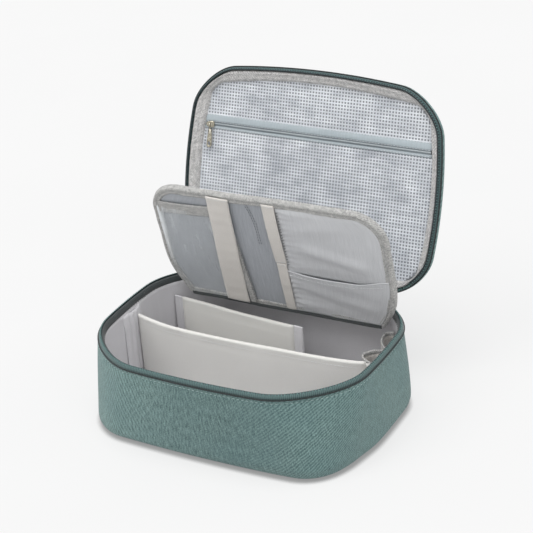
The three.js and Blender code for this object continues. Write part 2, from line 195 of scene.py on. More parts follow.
def shrunk(ring, share):
    """A plan ring drawn in toward its own middle."""
    middle = ring.mean(0)
    return middle + (ring - middle) * share


def arc_length(points, closed=True):
    ends = np.roll(points, -1, 0) if closed else points[1:]
    starts = points if closed else points[:-1]
    return np.concatenate([[0], np.cumsum(np.linalg.norm(ends - starts, axis=1))])


def resample(points, count):
    """The same open line with evenly spaced points."""
    length = arc_length(points, False)
    wanted = np.linspace(0, length[-1], count)
    return np.column_stack([np.interp(wanted, length, points[:, k]) for k in range(points.shape[1])])


# ---------------------------------------------------------------- the lid's and the panel's own planes
class Plane:
    """A hinged board's frame: x across, v up from its hinge, w out of its inner face.

    lean sways it sideways as it goes up, and shift moves all of it sideways.
    """

    def __init__(self, joint, opening, lean=0.0, shift=0.0):
        self.lean, self.shift = lean, shift
        self.origin = joint_place(joint)
        self.origin[0] = 0
        self.up = np.array([0, -math.cos(opening), math.sin(opening)])
        self.out = np.array([0, -math.sin(opening), -math.cos(opening)])

    def place(self, local):
        local = np.asarray(local, float)
        across = (local[..., :1] + self.shift + self.lean * local[..., 1:2]) * np.array([1.0, 0, 0])
        return self.origin + across + local[..., 1:2] * self.up + local[..., 2:3] * self.out


LID_PLANE = Plane("lid_hinge", LID_OPENING, -0.024, -0.9)
PANEL_PLANE = Plane("panel_fold", PANEL_OPENING)


def lid_outline(inset=0.0, radius=None, shift=0.0):
    """The lid's outline in its own plane, anticlockwise from inside, from the middle of the hinge edge."""
    if radius is None:
        points = rounded_outline(LID)
        points = points - outward(points) * inset
    else:
        half_x, half_y = LID["half_x"] - inset, LID["half_y"] - inset
        points = rounded_outline(dict(LID, half_x=half_x, half_y=half_y, radius=radius, x=shift))
    flipped = np.column_stack([points[:, 0], LID["half_y"] - points[:, 1]])
    return np.vstack([flipped[:1], flipped[:0:-1]])


# ---------------------------------------------------------------- what every piece says to the frame
def ride_body(piece, body, slot, *nodes):
    """The piece moves with one body and stands in for the CAD nodes given; the slot argument is not used."""
    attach(piece, body)
    if nodes:
        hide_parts(*nodes)
    return piece


def ride_case(piece, slot, *nodes):
    return ride_body(piece, "case", slot, *nodes)


def ride_lid(piece, slot, *nodes):
    return ride_body(piece, "lid", slot, *nodes)


def ride_panel(piece, slot, *nodes):
    return ride_body(piece, "panel", slot, *nodes)


# ---------------------------------------------------------------- meshes
COLLECTION = bpy.context.scene.collection


def make_object(name, vertices, faces, material, uv=None):
    """An object from millimetre vertices; uv holds one (u, v) in millimetres for each face corner."""
    mesh = bpy.data.meshes.new(name)
    mesh.from_pydata((np.asarray(vertices, float) * MM).tolist(), [], [list(map(int, f)) for f in faces])
    if uv is not None:
        layer = mesh.uv_layers.new(name="cloth")
        layer.data.foreach_set("uv", np.asarray(uv, np.float32).ravel())
    mesh.polygons.foreach_set("use_smooth", [True] * len(mesh.polygons))
    mesh.update()
    obj = bpy.data.objects.new(name, mesh)
    COLLECTION.objects.link(obj)
    if material is not None:
        mesh.materials.append(material)
    return obj


def grid(name, points, material, wrap_u=False, wrap_v=False, caps=False, flip=False, cloth=None):
    """A surface through (rows, columns, 3) points; cloth holds each point's place on the cloth, if given."""
    points = np.asarray(points, float)
    rows, columns = points.shape[:2]
    closed_rows = np.concatenate([points, points[:1]]) if wrap_u else points
    closed_columns = np.concatenate([points, points[:, :1]], 1) if wrap_v else points
    step_u = np.linalg.norm(np.diff(closed_rows, axis=0), axis=2).mean(1)
    step_v = np.linalg.norm(np.diff(closed_columns, axis=1), axis=2).mean(0)
    u = np.concatenate([[0], np.cumsum(step_u)])
    v = np.concatenate([[0], np.cumsum(step_v)])
    faces, uv = [], []
    order = (0, 3, 2, 1) if flip else (0, 1, 2, 3)
    for i in range(rows if wrap_u else rows - 1):
        for j in range(columns if wrap_v else columns - 1):
            ni, nj = (i + 1) % rows, (j + 1) % columns
            corners = [i * columns + j, ni * columns + j, ni * columns + nj, i * columns + nj]
            if cloth is None:
                places = [(u[i], v[j]), (u[i + 1], v[j]), (u[i + 1], v[j + 1]), (u[i], v[j + 1])]
            else:
                places = [cloth[i][j], cloth[ni][j], cloth[ni][nj], cloth[i][nj]]
            faces.append([corners[k] for k in order])
            uv += [places[k] for k in order]
    if caps:
        first = list(range(columns))
        last = [(rows - 1) * columns + j for j in range(columns)]
        for cap in ((first, last[::-1]) if not flip else (first[::-1], last)):
            faces.append(cap)
            uv += [(0, v[j]) for j in range(columns)]
    return make_object(name, points.reshape(-1, 3), faces, material, uv)


def add_thickness(obj, thickness, offset=-1.0):
    solid = obj.modifiers.new("thickness", "SOLIDIFY")
    solid.thickness = thickness * MM
    solid.offset = offset
    solid.use_even_offset = False


def profile_sweep(name, path, sideways, upward, profile, material, closed=False, scale=None):
    """A closed profile of (sideways, upward) offsets carried along a path of points."""
    profile = np.asarray(profile, float)
    reach = np.ones(len(path)) if scale is None else np.asarray(scale)
    offsets = profile[None, :, :1] * sideways[:, None, :] + profile[None, :, 1:] * upward[:, None, :]
    points = path[:, None, :] + offsets * reach[:, None, None]
    return grid(name, points, material, wrap_u=closed, wrap_v=True, caps=not closed)


def round_profile(radius, sides=8, squash=1.0):
    angle = np.linspace(0, 2 * math.pi, sides, endpoint=False)
    return np.column_stack([radius * np.cos(angle), radius * squash * np.sin(angle)])


def bars(name, centres, along, up, material, length, radius, arch=0.35):
    """Short round-ended bars, one at each centre, slightly arched along their up direction."""
    sides = 6
    angle = np.linspace(0, 2 * math.pi, sides, endpoint=False)
    stations = np.array([-1.0, -0.8, 0.0, 0.8, 1.0])
    girth = np.array([0.3, 0.9, 1.0, 0.9, 0.3])
    lift = np.array([-1.7, -0.6, 1.0, -0.6, -1.7]) * arch
    along = along / np.linalg.norm(along, axis=1)[:, None]
    side = np.cross(along, up)
    side /= np.linalg.norm(side, axis=1)[:, None]
    above = np.cross(side, along)
    length = np.broadcast_to(length, (len(centres),))
    offset = (stations[None, :] * length[:, None] / 2)[:, :, None, None]
    around = (np.cos(angle)[None, None, :, None] * side[:, None, None, :]
              + np.sin(angle)[None, None, :, None] * above[:, None, None, :])
    rings = (centres[:, None, None, :] + along[:, None, None, :] * offset
             + above[:, None, None, :] * (radius * lift)[None, :, None, None]
             + radius * girth[None, :, None, None] * around)
    vertices = rings.reshape(-1, 3)
    faces = []
    for n in range(len(centres)):
        base = n * len(stations) * sides
        for k in range(len(stations) - 1):
            for m in range(sides):
                a, b = base + k * sides + m, base + k * sides + (m + 1) % sides
                faces.append((a, b, b + sides, a + sides))
        faces.append([base + m for m in range(sides)][::-1])
        faces.append([base + (len(stations) - 1) * sides + m for m in range(sides)])
    return make_object(name, vertices, faces, material)


def spaced(path, pitch):
    """The same open line with one point for each pitch of its length."""
    return resample(path, max(int(arc_length(path, False)[-1] / pitch), 2))


def stitches(name, path, normal, material, length=2.2, space=1.2, radius=0.28, closed=False):
    """A row of thread bars on a surface; normal is one vector, or one for each point of the path."""
    path = np.asarray(path, float)
    both = np.column_stack([path, np.broadcast_to(np.asarray(normal, float), path.shape)])
    lengths = arc_length(path, closed)
    count = max(int(lengths[-1] / (length + space)), 1)
    line = np.vstack([both, both[:1]]) if closed else both
    where = (np.arange(count) + 0.5) * lengths[-1] / count

    def at(distance):
        return np.column_stack([np.interp(distance, lengths, line[:, k]) for k in range(6)])

    middle = at(where)
    along = at(np.minimum(where + 0.6, lengths[-1])) - at(np.maximum(where - 0.6, 0))
    return bars(name, middle[:, :3], along[:, :3], middle[:, 3:], material, length, radius)


# ---------------------------------------------------------------- materials
class Nodes:
    """A small wrapper that makes and links shader nodes."""

    def __init__(self, name):
        self.material = bpy.data.materials.new(name)
        self.material.use_nodes = True
        self.tree = self.material.node_tree
        self.tree.nodes.clear()
        self.output = self.tree.nodes.new("ShaderNodeOutputMaterial")

    def add(self, kind, **inputs):
        node = self.tree.nodes.new(kind)
        for name, value in inputs.items():
            if hasattr(node, name) and name not in node.inputs:
                setattr(node, name, value)
            else:
                self.put(node.inputs[name], value)
        return node

    def put(self, socket, value):
        if isinstance(value, bpy.types.NodeSocket):
            self.tree.links.new(value, socket)
        elif isinstance(value, bpy.types.Node):
            self.tree.links.new(value.outputs[0], socket)
        elif hasattr(socket, "default_value"):
            socket.default_value = value

    def maths(self, operation, a, b=None, clamp=False):
        node = self.tree.nodes.new("ShaderNodeMath")
        node.operation = operation
        node.use_clamp = clamp
        self.put(node.inputs[0], a)
        if b is not None:
            self.put(node.inputs[1], b)
        return node.outputs[0]

    def total(self, *terms):
        """The sum of its terms; a (value, weight) pair is multiplied out first."""
        parts = [self.maths("MULTIPLY", *term) if isinstance(term, tuple) else term for term in terms]
        summed = parts[0]
        for part in parts[1:]:
            summed = self.maths("ADD", summed, part)
        return summed

    def mix(self, factor, a, b):
        node = self.tree.nodes.new("ShaderNodeMix")
        node.data_type = "RGBA"
        self.put(node.inputs["Factor"], factor)
        self.put(node.inputs[6], a)
        self.put(node.inputs[7], b)
        return node.outputs[2]

    def ramp(self, value, low, high, to_low=0.0, to_high=1.0):
        node = self.tree.nodes.new("ShaderNodeMapRange")
        self.put(node.inputs["Value"], value)
        node.inputs["From Min"].default_value = low
        node.inputs["From Max"].default_value = high
        node.inputs["To Min"].default_value = to_low
        node.inputs["To Max"].default_value = to_high
        return node.outputs["Result"]

    def noise(self, where, scale, detail=3.0, roughness=0.5):
        node = self.add("ShaderNodeTexNoise", Vector=where, Scale=scale, Detail=detail, Roughness=roughness)
        return node.outputs[0]

    def streaks(self, where, stretch, scale, detail, roughness=0.5, turn=(0, 0, 0)):
        """Noise drawn out into streaks; a smaller stretch value makes them longer that way."""
        mapping = self.add("ShaderNodeMapping", Vector=where, Rotation=turn, Scale=stretch)
        return self.noise(mapping, scale, detail, roughness)

    def two_tone(self, tone, low, high, dark, light):
        """A colour that runs from dark to light as the tone runs from low to high."""
        return self.mix(self.ramp(tone, low, high), linear(*dark), linear(*light))

    def place(self, use_uv):
        """Cloth coordinates in millimetres, by surface length where the piece has them, else by position."""
        if use_uv:
            node = self.tree.nodes.new("ShaderNodeUVMap")
            node.uv_map = "cloth"
            return node.outputs[0]
        node = self.tree.nodes.new("ShaderNodeTexCoord")
        scale = self.add("ShaderNodeVectorMath", operation="SCALE")
        self.put(scale.inputs[0], node.outputs["Object"])
        scale.inputs["Scale"].default_value = 1000.0
        return scale.outputs[0]

    def bump(self, height, distance, strength):
        return self.add("ShaderNodeBump", Height=height, Distance=distance * MM, Strength=strength).outputs[0]

    def finish(self, **inputs):
        shader = self.add("ShaderNodeBsdfPrincipled")
        for name, value in inputs.items():
            self.put(shader.inputs[name.replace("_", " ")], value)
        self.put(self.output.inputs["Surface"], shader.outputs[0])
        return self.material


def linear(red, green, blue):
    """A colour given in 0-255 display values, as the linear values a shader needs."""
    def one(value):
        value /= 255
        return value / 12.92 if value < 0.04045 else ((value + 0.055) / 1.055) ** 2.4
    return one(red), one(green), one(blue), 1.0


def split_place(nodes, where):
    separate = nodes.add("ShaderNodeSeparateXYZ", Vector=where)
    return separate.outputs[0], separate.outputs[1], separate.outputs[2]


def thread_wave(nodes, value, pitch):
    """A smooth 0-1 hump for each thread along one coordinate."""
    turn = nodes.maths("MULTIPLY", value, 2 * math.pi / pitch)
    wave = nodes.maths("SINE", turn)
    return nodes.ramp(wave, -1, 1)


def oxford_fabric(front, round_length):
    """Dense two-tone polyester: slanted yarns on each side of the front, upright streaks between them."""
    n = Nodes("oxford_fabric")
    where = n.place(True)
    u, v, _ = split_place(n, where)
    wobble = n.maths("MULTIPLY", n.noise(where, 0.12, 2.0), 2.6)

    def slanted(across, up, pitch):
        return thread_wave(n, n.total((v, across), (u, up), wobble), pitch)

    back = n.ramp(v, round_length - 190, round_length - 90)
    early = n.maths("MAXIMUM", n.ramp(v, front + 10, front - 70), back)
    late = n.maths("MINIMUM", n.ramp(v, front + 60, front + 130, 0.12, 0.8),
                   n.ramp(v, round_length - 120, round_length - 200))
    falling = n.maths("MULTIPLY", slanted(0.839, 0.545, 3.15), early)
    rising = n.maths("MULTIPLY", slanted(-0.574, 0.819, 2.35), late)
    yarn = n.maths("MULTIPLY", thread_wave(n, u, 0.62), thread_wave(n, v, 0.62))
    streak = n.streaks(where, (0.22, 1.0, 1.0), 0.62, 3.0, 0.6)
    chevron = n.streaks(where, (0.3, 1.2, 1.0), 0.5, 2.0, 0.6, (0, 0, 0.6))
    grain = n.noise(where, 0.95, 3.0, 0.7)
    cloud = n.noise(where, 0.018, 2.0)
    middle = n.ramp(n.maths("ABSOLUTE", n.maths("SUBTRACT", v, front)), 110, 20, 0.55, 1.0)
    upright = n.maths("MULTIPLY", n.ramp(streak, 0.32, 0.68), n.maths("MULTIPLY", middle, 0.36))
    tone = n.total((n.total(falling, rising), 0.36), upright, (n.ramp(chevron, 0.3, 0.7), 0.16),
                   (n.ramp(grain, 0.32, 0.68), 0.42))
    colour = n.two_tone(tone, 0.16, 0.9, (28, 59, 62), (136, 166, 162))
    colour = n.mix(n.ramp(cloud, 0.35, 0.7, 0.0, 0.28), colour, linear(76, 108, 112))
    return n.finish(Base_Color=colour, Roughness=n.ramp(grain, 0.3, 0.7, 0.78, 0.95),
                    Sheen_Weight=0.12, Sheen_Roughness=0.5, Normal=n.bump(n.total((tone, 1.4), (yarn, 0.6)), 0.3, 0.8))


def plain_weave(name, dark, light, pitch=0.9, depth=0.12, roughness=0.85, use_uv=True):
    """A fine plain weave with uneven yarns."""
    n = Nodes(name)
    where = n.place(use_uv)
    u, v, w = split_place(n, where)
    if use_uv:
        yarn = n.maths("MULTIPLY", thread_wave(n, u, pitch), thread_wave(n, v, pitch))
    else:
        yarn = n.maths("MULTIPLY", thread_wave(n, n.total(u, v), pitch * 1.4), thread_wave(n, w, pitch))
    grain = n.noise(where, 1.2, 3.0, 0.6)
    soft = n.noise(where, 0.03, 3.0)
    colour = n.two_tone(n.total((yarn, 0.5), (grain, 0.7)), 0.25, 0.95, dark, light)
    middle = [(a + b) / 2 * 0.94 for a, b in zip(dark, light)]
    colour = n.mix(n.ramp(soft, 0.35, 0.7, 0.0, 0.3), colour, linear(*middle))
    return n.finish(Base_Color=colour, Roughness=n.ramp(grain, 0.3, 0.7, roughness - 0.08, roughness + 0.06),
                    Sheen_Weight=0.2, Sheen_Roughness=0.5, Normal=n.bump(n.total(yarn, (grain, 0.5)), depth, 0.8))


def thread_cloth(name, dark, light, pitch=0.4, depth=0.04):
    """Sewing thread: a plain weave laid by position, since its bars carry no cloth coordinates."""
    return plain_weave(name, dark, light, pitch, depth, use_uv=False)


def ribbed_tape(name, dark, light, pitch):
    """Grosgrain: close ribs across the tape, with fine yarns along it."""
    n = Nodes(name)
    where = n.place(True)
    u, v, _ = split_place(n, where)
    rib = thread_wave(n, n.total(u, (n.noise(where, 0.4), 0.5)), pitch)
    yarn = thread_wave(n, v, 0.6)
    grain = n.noise(where, 1.7, 3.0, 0.6)
    colour = n.two_tone(n.total((rib, 0.5), (grain, 0.6), (yarn, 0.1)), 0.25, 0.9, dark, light)
    return n.finish(Base_Color=colour, Roughness=n.ramp(grain, 0.3, 0.7, 0.74, 0.88),
                    Sheen_Weight=0.2, Sheen_Roughness=0.5, Normal=n.bump(n.total(rib, (grain, 0.3)), 0.2, 0.8))


def rough_tape(name, dark, light):
    """Brushed binding tape: slanting yarns nearly lost in a coarse, speckled surface."""
    n = Nodes(name)
    where = n.place(True)
    u, v, _ = split_place(n, where)
    slant = thread_wave(n, n.total(u, (v, 0.7)), 1.9)
    speck = n.noise(where, 0.62, 4.0, 0.8)
    fluff = n.noise(where, 0.2, 3.0, 0.6)
    tone = n.total((slant, 0.2), (n.ramp(speck, 0.34, 0.66), 0.55), (n.ramp(fluff, 0.3, 0.7), 0.25))
    return n.finish(Base_Color=n.two_tone(tone, 0.1, 0.9, dark, light),
                    Roughness=n.ramp(speck, 0.3, 0.7, 0.8, 0.95),
                    Sheen_Weight=0.2, Sheen_Roughness=0.5, Normal=n.bump(tone, 0.9, 0.9))


def satin(name, dark, light):
    """Smooth lining with a soft gloss, very fine threads and faint pulls."""
    n = Nodes(name)
    where = n.place(True)
    u, _, _ = split_place(n, where)
    pulls = n.streaks(where, (0.06, 1.0, 1.0), 0.8, 3.0, 0.7)
    grain = n.noise(where, 1.4, 2.0)
    return n.finish(Base_Color=n.two_tone(n.total((pulls, 0.6), (grain, 0.45)), 0.3, 0.8, dark, light),
                    Roughness=n.ramp(grain, 0.3, 0.7, 0.36, 0.48), Sheen_Weight=0.15, Sheen_Roughness=0.4,
                    Normal=n.bump(n.total((thread_wave(n, u, 0.5), 0.4), pulls), 0.05, 0.6))


def elastic_band():
    """Woven elastic: strong cross ribs, puckered and a little fuzzy."""
    n = Nodes("elastic_band")
    where = n.place(True)
    u, v, _ = split_place(n, where)
    rib = thread_wave(n, u, 0.9)
    column = thread_wave(n, v, 1.1)
    grain = n.noise(where, 1.3, 4.0, 0.65)
    tone = n.total((rib, 0.35), (grain, 0.7), (column, 0.15))
    return n.finish(Base_Color=n.two_tone(tone, 0.3, 0.9, (174, 170, 165), (232, 228, 222)), Roughness=0.86,
                    Sheen_Weight=0.3, Sheen_Roughness=0.5,
                    Normal=n.bump(n.total(rib, grain, (column, 0.4)), 0.16, 0.7))


def moulded(name, dark, light, roughness):
    """Moulded or extruded plastic with a faint grain."""
    n = Nodes(name)
    where = n.place(False)
    grain = n.noise(where, 1.5, 3.0, 0.6)
    patch = n.noise(where, 0.08, 2.0)
    return n.finish(Base_Color=n.two_tone(n.total((grain, 0.6), (patch, 0.4)), 0.3, 0.7, dark, light),
                    Roughness=n.ramp(grain, 0.3, 0.7, roughness - 0.08, roughness + 0.1),
                    Normal=n.bump(grain, 0.05, 0.6))


def brushed_metal(name, dark, light):
    """Plated zinc: bright, with fine rubbing marks and duller edges."""
    n = Nodes(name)
    where = n.place(False)
    marks = n.streaks(where, (0.4, 4.0, 4.0), 1.6, 4.0, 0.7)
    return n.finish(Base_Color=n.two_tone(n.noise(where, 0.5, 2.0), 0.35, 0.7, dark, light), Metallic=1.0,
                    Roughness=n.ramp(marks, 0.3, 0.7, 0.18, 0.38), Normal=n.bump(marks, 0.03, 0.5))


def clear_film(name, tint, alpha, roughness=0.12, painted_glare=0.0):
    """Clear soft vinyl with faint waves; alpha is its haze, and the glare amount adds painted highlight: whitish
    streaks and a whitish wedge along one edge of the upper part, standing in for gloss.
    """
    n = Nodes(name)
    where = n.place(True)
    up, across, _ = split_place(n, where)
    wave = n.noise(where, 0.035, 3.0, 0.55)
    fine = n.noise(where, 0.5, 2.0)
    haze = n.ramp(wave, 0.35, 0.7, alpha * 0.8, alpha * 1.2)
    if painted_glare:
        # Painted highlight: the streaks and the edge wedge (hem) below raise the haze where the film would catch
        # light.
        streak = n.streaks(where, (0.25, 1.3, 1), 0.09, 2.0, 0.5, (0, 0, 0.35))
        hem = n.maths("MULTIPLY", n.ramp(across, 1.5, 8.5, 1, 0), n.ramp(up, 34, 74))
        haze = n.maths("ADD", haze, n.maths("MULTIPLY", n.ramp(streak, 0.55, 0.72), painted_glare * 0.4), True)
        haze = n.maths("ADD", haze, n.maths("MULTIPLY", hem, painted_glare), True)
    return n.finish(Base_Color=linear(*tint), Alpha=haze,
                    Roughness=n.ramp(fine, 0.3, 0.7, roughness, roughness + 0.06),
                    Specular_IOR_Level=0.6, Coat_Weight=0.6, Coat_Roughness=0.08,
                    Normal=n.bump(n.total(wave, (fine, 0.01)), 1.2, 0.9))


def grid_print():
    """The mesh's milky printed threads, with painted light and shade: lighter and darker patches and crease streaks
    stand in for light on the soft sheet's bulges.
    """
    n = Nodes("grid_print")
    where = n.place(False)
    # Painted light and shade: the broad patches and the slanted crease streaks below lighten and darken the threads.
    patch = n.noise(where, 0.045, 2.0, 0.5)
    painted_crease_light = n.streaks(where, (0.5, 1.0, 1.6), 0.11, 3.0, 0.6, (0, 0.3, 0))
    grain = n.noise(where, 0.9, 2.0)
    colour = n.two_tone(n.total((patch, 0.5), (painted_crease_light, 0.5)), 0.36, 0.64, (174, 178, 185), (222, 225, 229))
    colour = n.mix(n.ramp(grain, 0.4, 0.8, 0.0, 0.35), colour, linear(186, 190, 196))
    return n.finish(Base_Color=colour, Roughness=n.ramp(grain, 0.3, 0.7, 0.35, 0.5), Specular_IOR_Level=0.35,
                    Normal=n.bump(grain, 0.08, 0.6))


def floor_paper():
    """Seamless studio paper, lit from within except close to things, so only touching shadows show."""
    n = Nodes("floor_paper")
    where = n.place(False)
    soft = n.noise(where, 0.004, 2.0)
    fibre = n.noise(where, 0.9, 2.0)
    open_sky = n.add("ShaderNodeAmbientOcclusion", Distance=0.008).outputs["AO"]
    glow = n.ramp(open_sky, 0.42, 0.82, FLOOR_GLOW * 0.38, FLOOR_GLOW)
    colour = n.two_tone(soft, 0.3, 0.7, [FLOOR_TONE - 1] * 3, [FLOOR_TONE + 1] * 3)
    return n.finish(Base_Color=colour, Roughness=n.ramp(fibre, 0.3, 0.7, 0.86, 0.94), Specular_IOR_Level=0.0,
                    Emission_Color=linear(247, 247, 247), Emission_Strength=glow)


FLOOR_TONE = 116
FLOOR_GLOW = 0.73
RIM_LENGTH = arc_length(rounded_outline(RIM))
OXFORD = oxford_fabric(RIM_LENGTH[POINTS_AROUND // 2] * 0.93, RIM_LENGTH[-1])
TOPSTITCH = thread_cloth("topstitch_thread", (138, 162, 160), (190, 207, 204), 0.5, 0.05)
PIPING = plain_weave("piping_cloth", (18, 25, 27), (42, 51, 52), pitch=0.7, depth=0.1)
ZIP_TAPE = ribbed_tape("zip_tape_cloth", (38, 57, 59), (86, 111, 110), pitch=1.7)
# Painted shade: the lid's half of the zip tape, a darker copy of the case's tape above.
LID_TAPE_SHADED = ribbed_tape("lid_tape_cloth_painted_darker", (26, 46, 50), (70, 98, 98), pitch=1.7)
COIL = moulded("coil_plastic", (54, 82, 81), (102, 136, 133), 0.38)
# Painted light and shade: the lid's half of the coil, a copy of the case's coil plastic toned apart to match the lid's
# rim.
LID_COIL_LIGHT_AND_SHADE = moulded("lid_coil_plastic_painted_light_and_shade", (60, 92, 91), (104, 138, 135), 0.4)
# Partly painted shade: the cord under the teeth is near black, so the gaps between teeth and the line beside the coil
# read as shaded.
CORD_AND_GAP_SHADE = moulded("coil_cord_plastic_and_gap_shade", (14, 26, 30), (28, 44, 48), 0.6)
DARK_BAND = ribbed_tape("dark_band_cloth", (38, 43, 44), (68, 74, 75), pitch=1.1)
LINING = plain_weave("lining_cloth", (188, 187, 190), (221, 220, 223), pitch=0.8, depth=0.06, roughness=0.75)
DIVIDER = plain_weave("divider_cloth", (198, 197, 193), (230, 229, 225), pitch=0.8, depth=0.07,
                      roughness=0.78)
BINDING = rough_tape("binding_tape_cloth", (96, 97, 97), (222, 221, 218))
# Painted light: the lid's binding is the same tape as the binding above, in a lighter copy.
LID_BINDING_LIT = rough_tape("lid_binding_cloth_painted_lighter", (112, 112, 112), (240, 238, 236))
BINDING_THREAD = thread_cloth("binding_thread", (170, 171, 171), (206, 207, 207))
DARK_THREAD = thread_cloth("dark_thread", (58, 62, 64), (92, 96, 98))
LIGHT_THREAD = thread_cloth("light_thread", (196, 198, 200), (226, 228, 230))
POCKET_TAPE = satin("pocket_zip_cloth", (150, 160, 165), (176, 186, 191))
POCKET_COIL = moulded("pocket_coil_plastic", (112, 121, 126), (142, 151, 156), 0.4)
POCKET_LINE = moulded("pocket_coil_light", (188, 196, 200), (214, 221, 224), 0.4)
METAL = brushed_metal("plated_metal", (196, 198, 201), (232, 233, 235))
PALE_GOLD = brushed_metal("pale_gold_metal", (158, 152, 134), (218, 213, 198))
GROUND = satin("panel_ground_cloth", (136, 140, 146), (181, 185, 190))
SATIN = satin("satin_cloth", (176, 178, 181), (208, 209, 211))
# Partly painted shade: the lid's own grey lining, made much darker than the case's lining to stand for the shade
# inside the mesh pockets.
LID_LINING_PAINTED_SHADE = satin("lid_lining_cloth_painted_shade", (112, 117, 124), (148, 153, 160))
ELASTIC = elastic_band()
GRID_THREAD = grid_print()
FILM = clear_film("mesh_film", (206, 210, 215), 0.3)
# The cover's film carries painted highlight through its glare amount.
VINYL = clear_film("vinyl_cover", (224, 229, 232), 0.24, 0.1, 0.7)


# ---------------------------------------------------------------- case: outer fabric
def around_length(points):
    return arc_length(points[:, :2], True)[:-1]


WALL_LENGTH = around_length(wall_ring(0, SEAM_HEIGHT))


def wall_puff(height):
    """How far the outer fabric stands off its plain shape at one height, point by point."""
    s = WALL_LENGTH
    down = SEAM_HEIGHT - height
    soft = 0.9 * value_noise(s / 62, height / 70, 3) + 0.35 * value_noise(s / 21, height / 48, 4)
    pucker = 0.22 * value_noise(s / 4.6, height / 30, 5) * math.exp(-down / 6)
    seam_pull = -0.4 * math.exp(-((down - 2.5) / 1.0) ** 2) - 0.3 * math.exp(-down / 2)
    foot = 0.45 * value_noise(s / 15, height / 16, 6) * math.exp(-height / 12)
    belly = 0.8 * math.sin(math.pi * min(height / SEAM_HEIGHT, 1))
    return (soft + pucker + foot + belly) * smoothstep(0, 14, height) + seam_pull


def make_case_fabric():
    rows = []
    for turn in np.radians(np.linspace(30, 84, 6)):
        rows.append(wall_ring(0, FOOT_ROUNDING * (1 - math.cos(turn)) + 0.02))
    for height in np.concatenate([np.linspace(9.5, SEAM_HEIGHT - 8, 26), SEAM_HEIGHT - np.linspace(7, 0, 15)]):
        rows.append(wall_ring(0, height, wall_puff(height)))
    rows.append(wall_ring(0.9, SEAM_HEIGHT + 0.35))
    rows.append(wall_ring(2.6, SEAM_HEIGHT + 0.1))
    wall = grid("case_outer_fabric", rows, OXFORD, wrap_v=True, flip=True)
    ride_case(wall, "outer_fabric", "base_wall_fabric")


def make_case_bottom():
    """The flat underside, cut as its own panel, that meets the wall low on the rounded foot."""
    rim = foot_outline(FOOT_ROUNDING)
    rows = []
    for share in (0.05, 0.25, 0.5, 0.75, 0.92, 1.0):
        plan = shrunk(rim, share)
        lift = 0.12 + 0.35 * (1 - share) + 0.12 * value_noise(plan[:, 0] / 30, plan[:, 1] / 30, 7)
        rows.append(np.column_stack([plan, np.clip(lift, 0.06, 1.0)]))
    for turn in np.radians((12, 21, 31)):
        rows.append(wall_ring(0, FOOT_ROUNDING * (1 - math.cos(turn)) + 0.02))
    cloth = [np.column_stack([row[:, 1], row[:, 0] + 130]) for row in rows]
    bottom = grid("case_bottom_fabric", rows, OXFORD, wrap_v=True, flip=True, cloth=cloth)
    close_ring(bottom, range(len(rows[0])), (0, 0, -1))
    ride_case(bottom, "outer_fabric", "base_bottom_fabric")


def face_outward(piece, new_face=None):
    """Turns all faces outward, after filling one ring of points with a face where it is given."""
    bm = bmesh.new()
    bm.from_mesh(piece.data)
    if new_face is not None:
        bm.verts.ensure_lookup_table()
        bm.faces.new([bm.verts[i] for i in new_face])
    bmesh.ops.recalc_face_normals(bm, faces=bm.faces)
    bm.to_mesh(piece.data)
    bm.free()
    return piece


def fix_normals(piece, toward):
    """Turns a sheet's faces to one side."""
    mesh = piece.data
    total = sum((p.normal * p.area for p in mesh.polygons), Vector())
    if total.dot(Vector(toward)) < 0:
        mesh.flip_normals()


def close_ring(piece, places, toward):
    """Fills a ring of points with one face and turns the whole sheet to one side."""
    fix_normals(face_outward(piece, places), toward)


def ring_path(inset, height, closed=True):
    plan = rounded_outline(RIM, inset)
    path = at_height(plan, height)
    sideways = flat_normals(plan)
    if closed:
        return path, sideways
    return path[ZIP_FIRST:ZIP_LAST + 1], sideways[ZIP_FIRST:ZIP_LAST + 1]


def sweep_ring(name, inset, height, profile, material, closed=True):
    path, sideways = ring_path(inset, height, closed)
    upward = np.broadcast_to([0.0, 0, 1], path.shape)
    return profile_sweep(name, path, -sideways, upward, profile, material, closed)


COIL_PITCH = 2.6
# COIL_BED is the cord's profile, wide enough that its near-black plastic shows as a painted shade line beside the
# teeth.
COIL_BED = [(1.5, -1.5), (1.9, -0.3), (2.5, 0.6), (3.3, 0.7), (3.7, 0.1), (2.8, -1.2)]


def make_case_rim():
    height = SEAM_HEIGHT - 2.5
    seam = wall_ring(0, height, wall_puff(height) + 0.12)
    outside = flat_normals(seam[:, :2])
    ride_case(stitches("case_topstitch", seam, outside, TOPSTITCH, 2.3, 2.0, 0.3, True), "outer_fabric")
    piping = sweep_ring("case_rim_piping", -0.05, SEAM_HEIGHT + 0.85, round_profile(0.5, 8), PIPING)
    ride_case(piping, "dark_trim", "base_rim_piping")
    lean = [(0.55, 0.6), (1.2, 0.4), (1.9, 2.2), (2.9, 4.2), (2.3, 4.5), (1.0, 2.6)]
    tape = sweep_ring("case_zip_tape", 0, SEAM_HEIGHT + 0.7, lean, ZIP_TAPE, False)
    ride_case(tape, "zip_tape", "base_zip_tape")
    path, sideways = ring_path(2.45, RIM_HEIGHT - 0.4, False)
    both = spaced(np.column_stack([path, sideways]), COIL_PITCH)
    across = np.array([0, 0, 1.0]) - both[:, 3:] * 0.7
    teeth = bars("case_zip_coil", both[:, :3], across, both[:, 3:] + np.array([0, 0, 0.7]), COIL, 2.4, 0.58,
                 0.5)
    ride_case(teeth, "zip_coil", "base_zip_coil")
    # Near-black cord under the teeth: real cord, and painted shade in the gaps.
    cord = sweep_ring("case_coil_cord_and_gap_shade", 0, RIM_HEIGHT - 0.5, COIL_BED, CORD_AND_GAP_SHADE, False)
    ride_case(cord, "zip_coil")


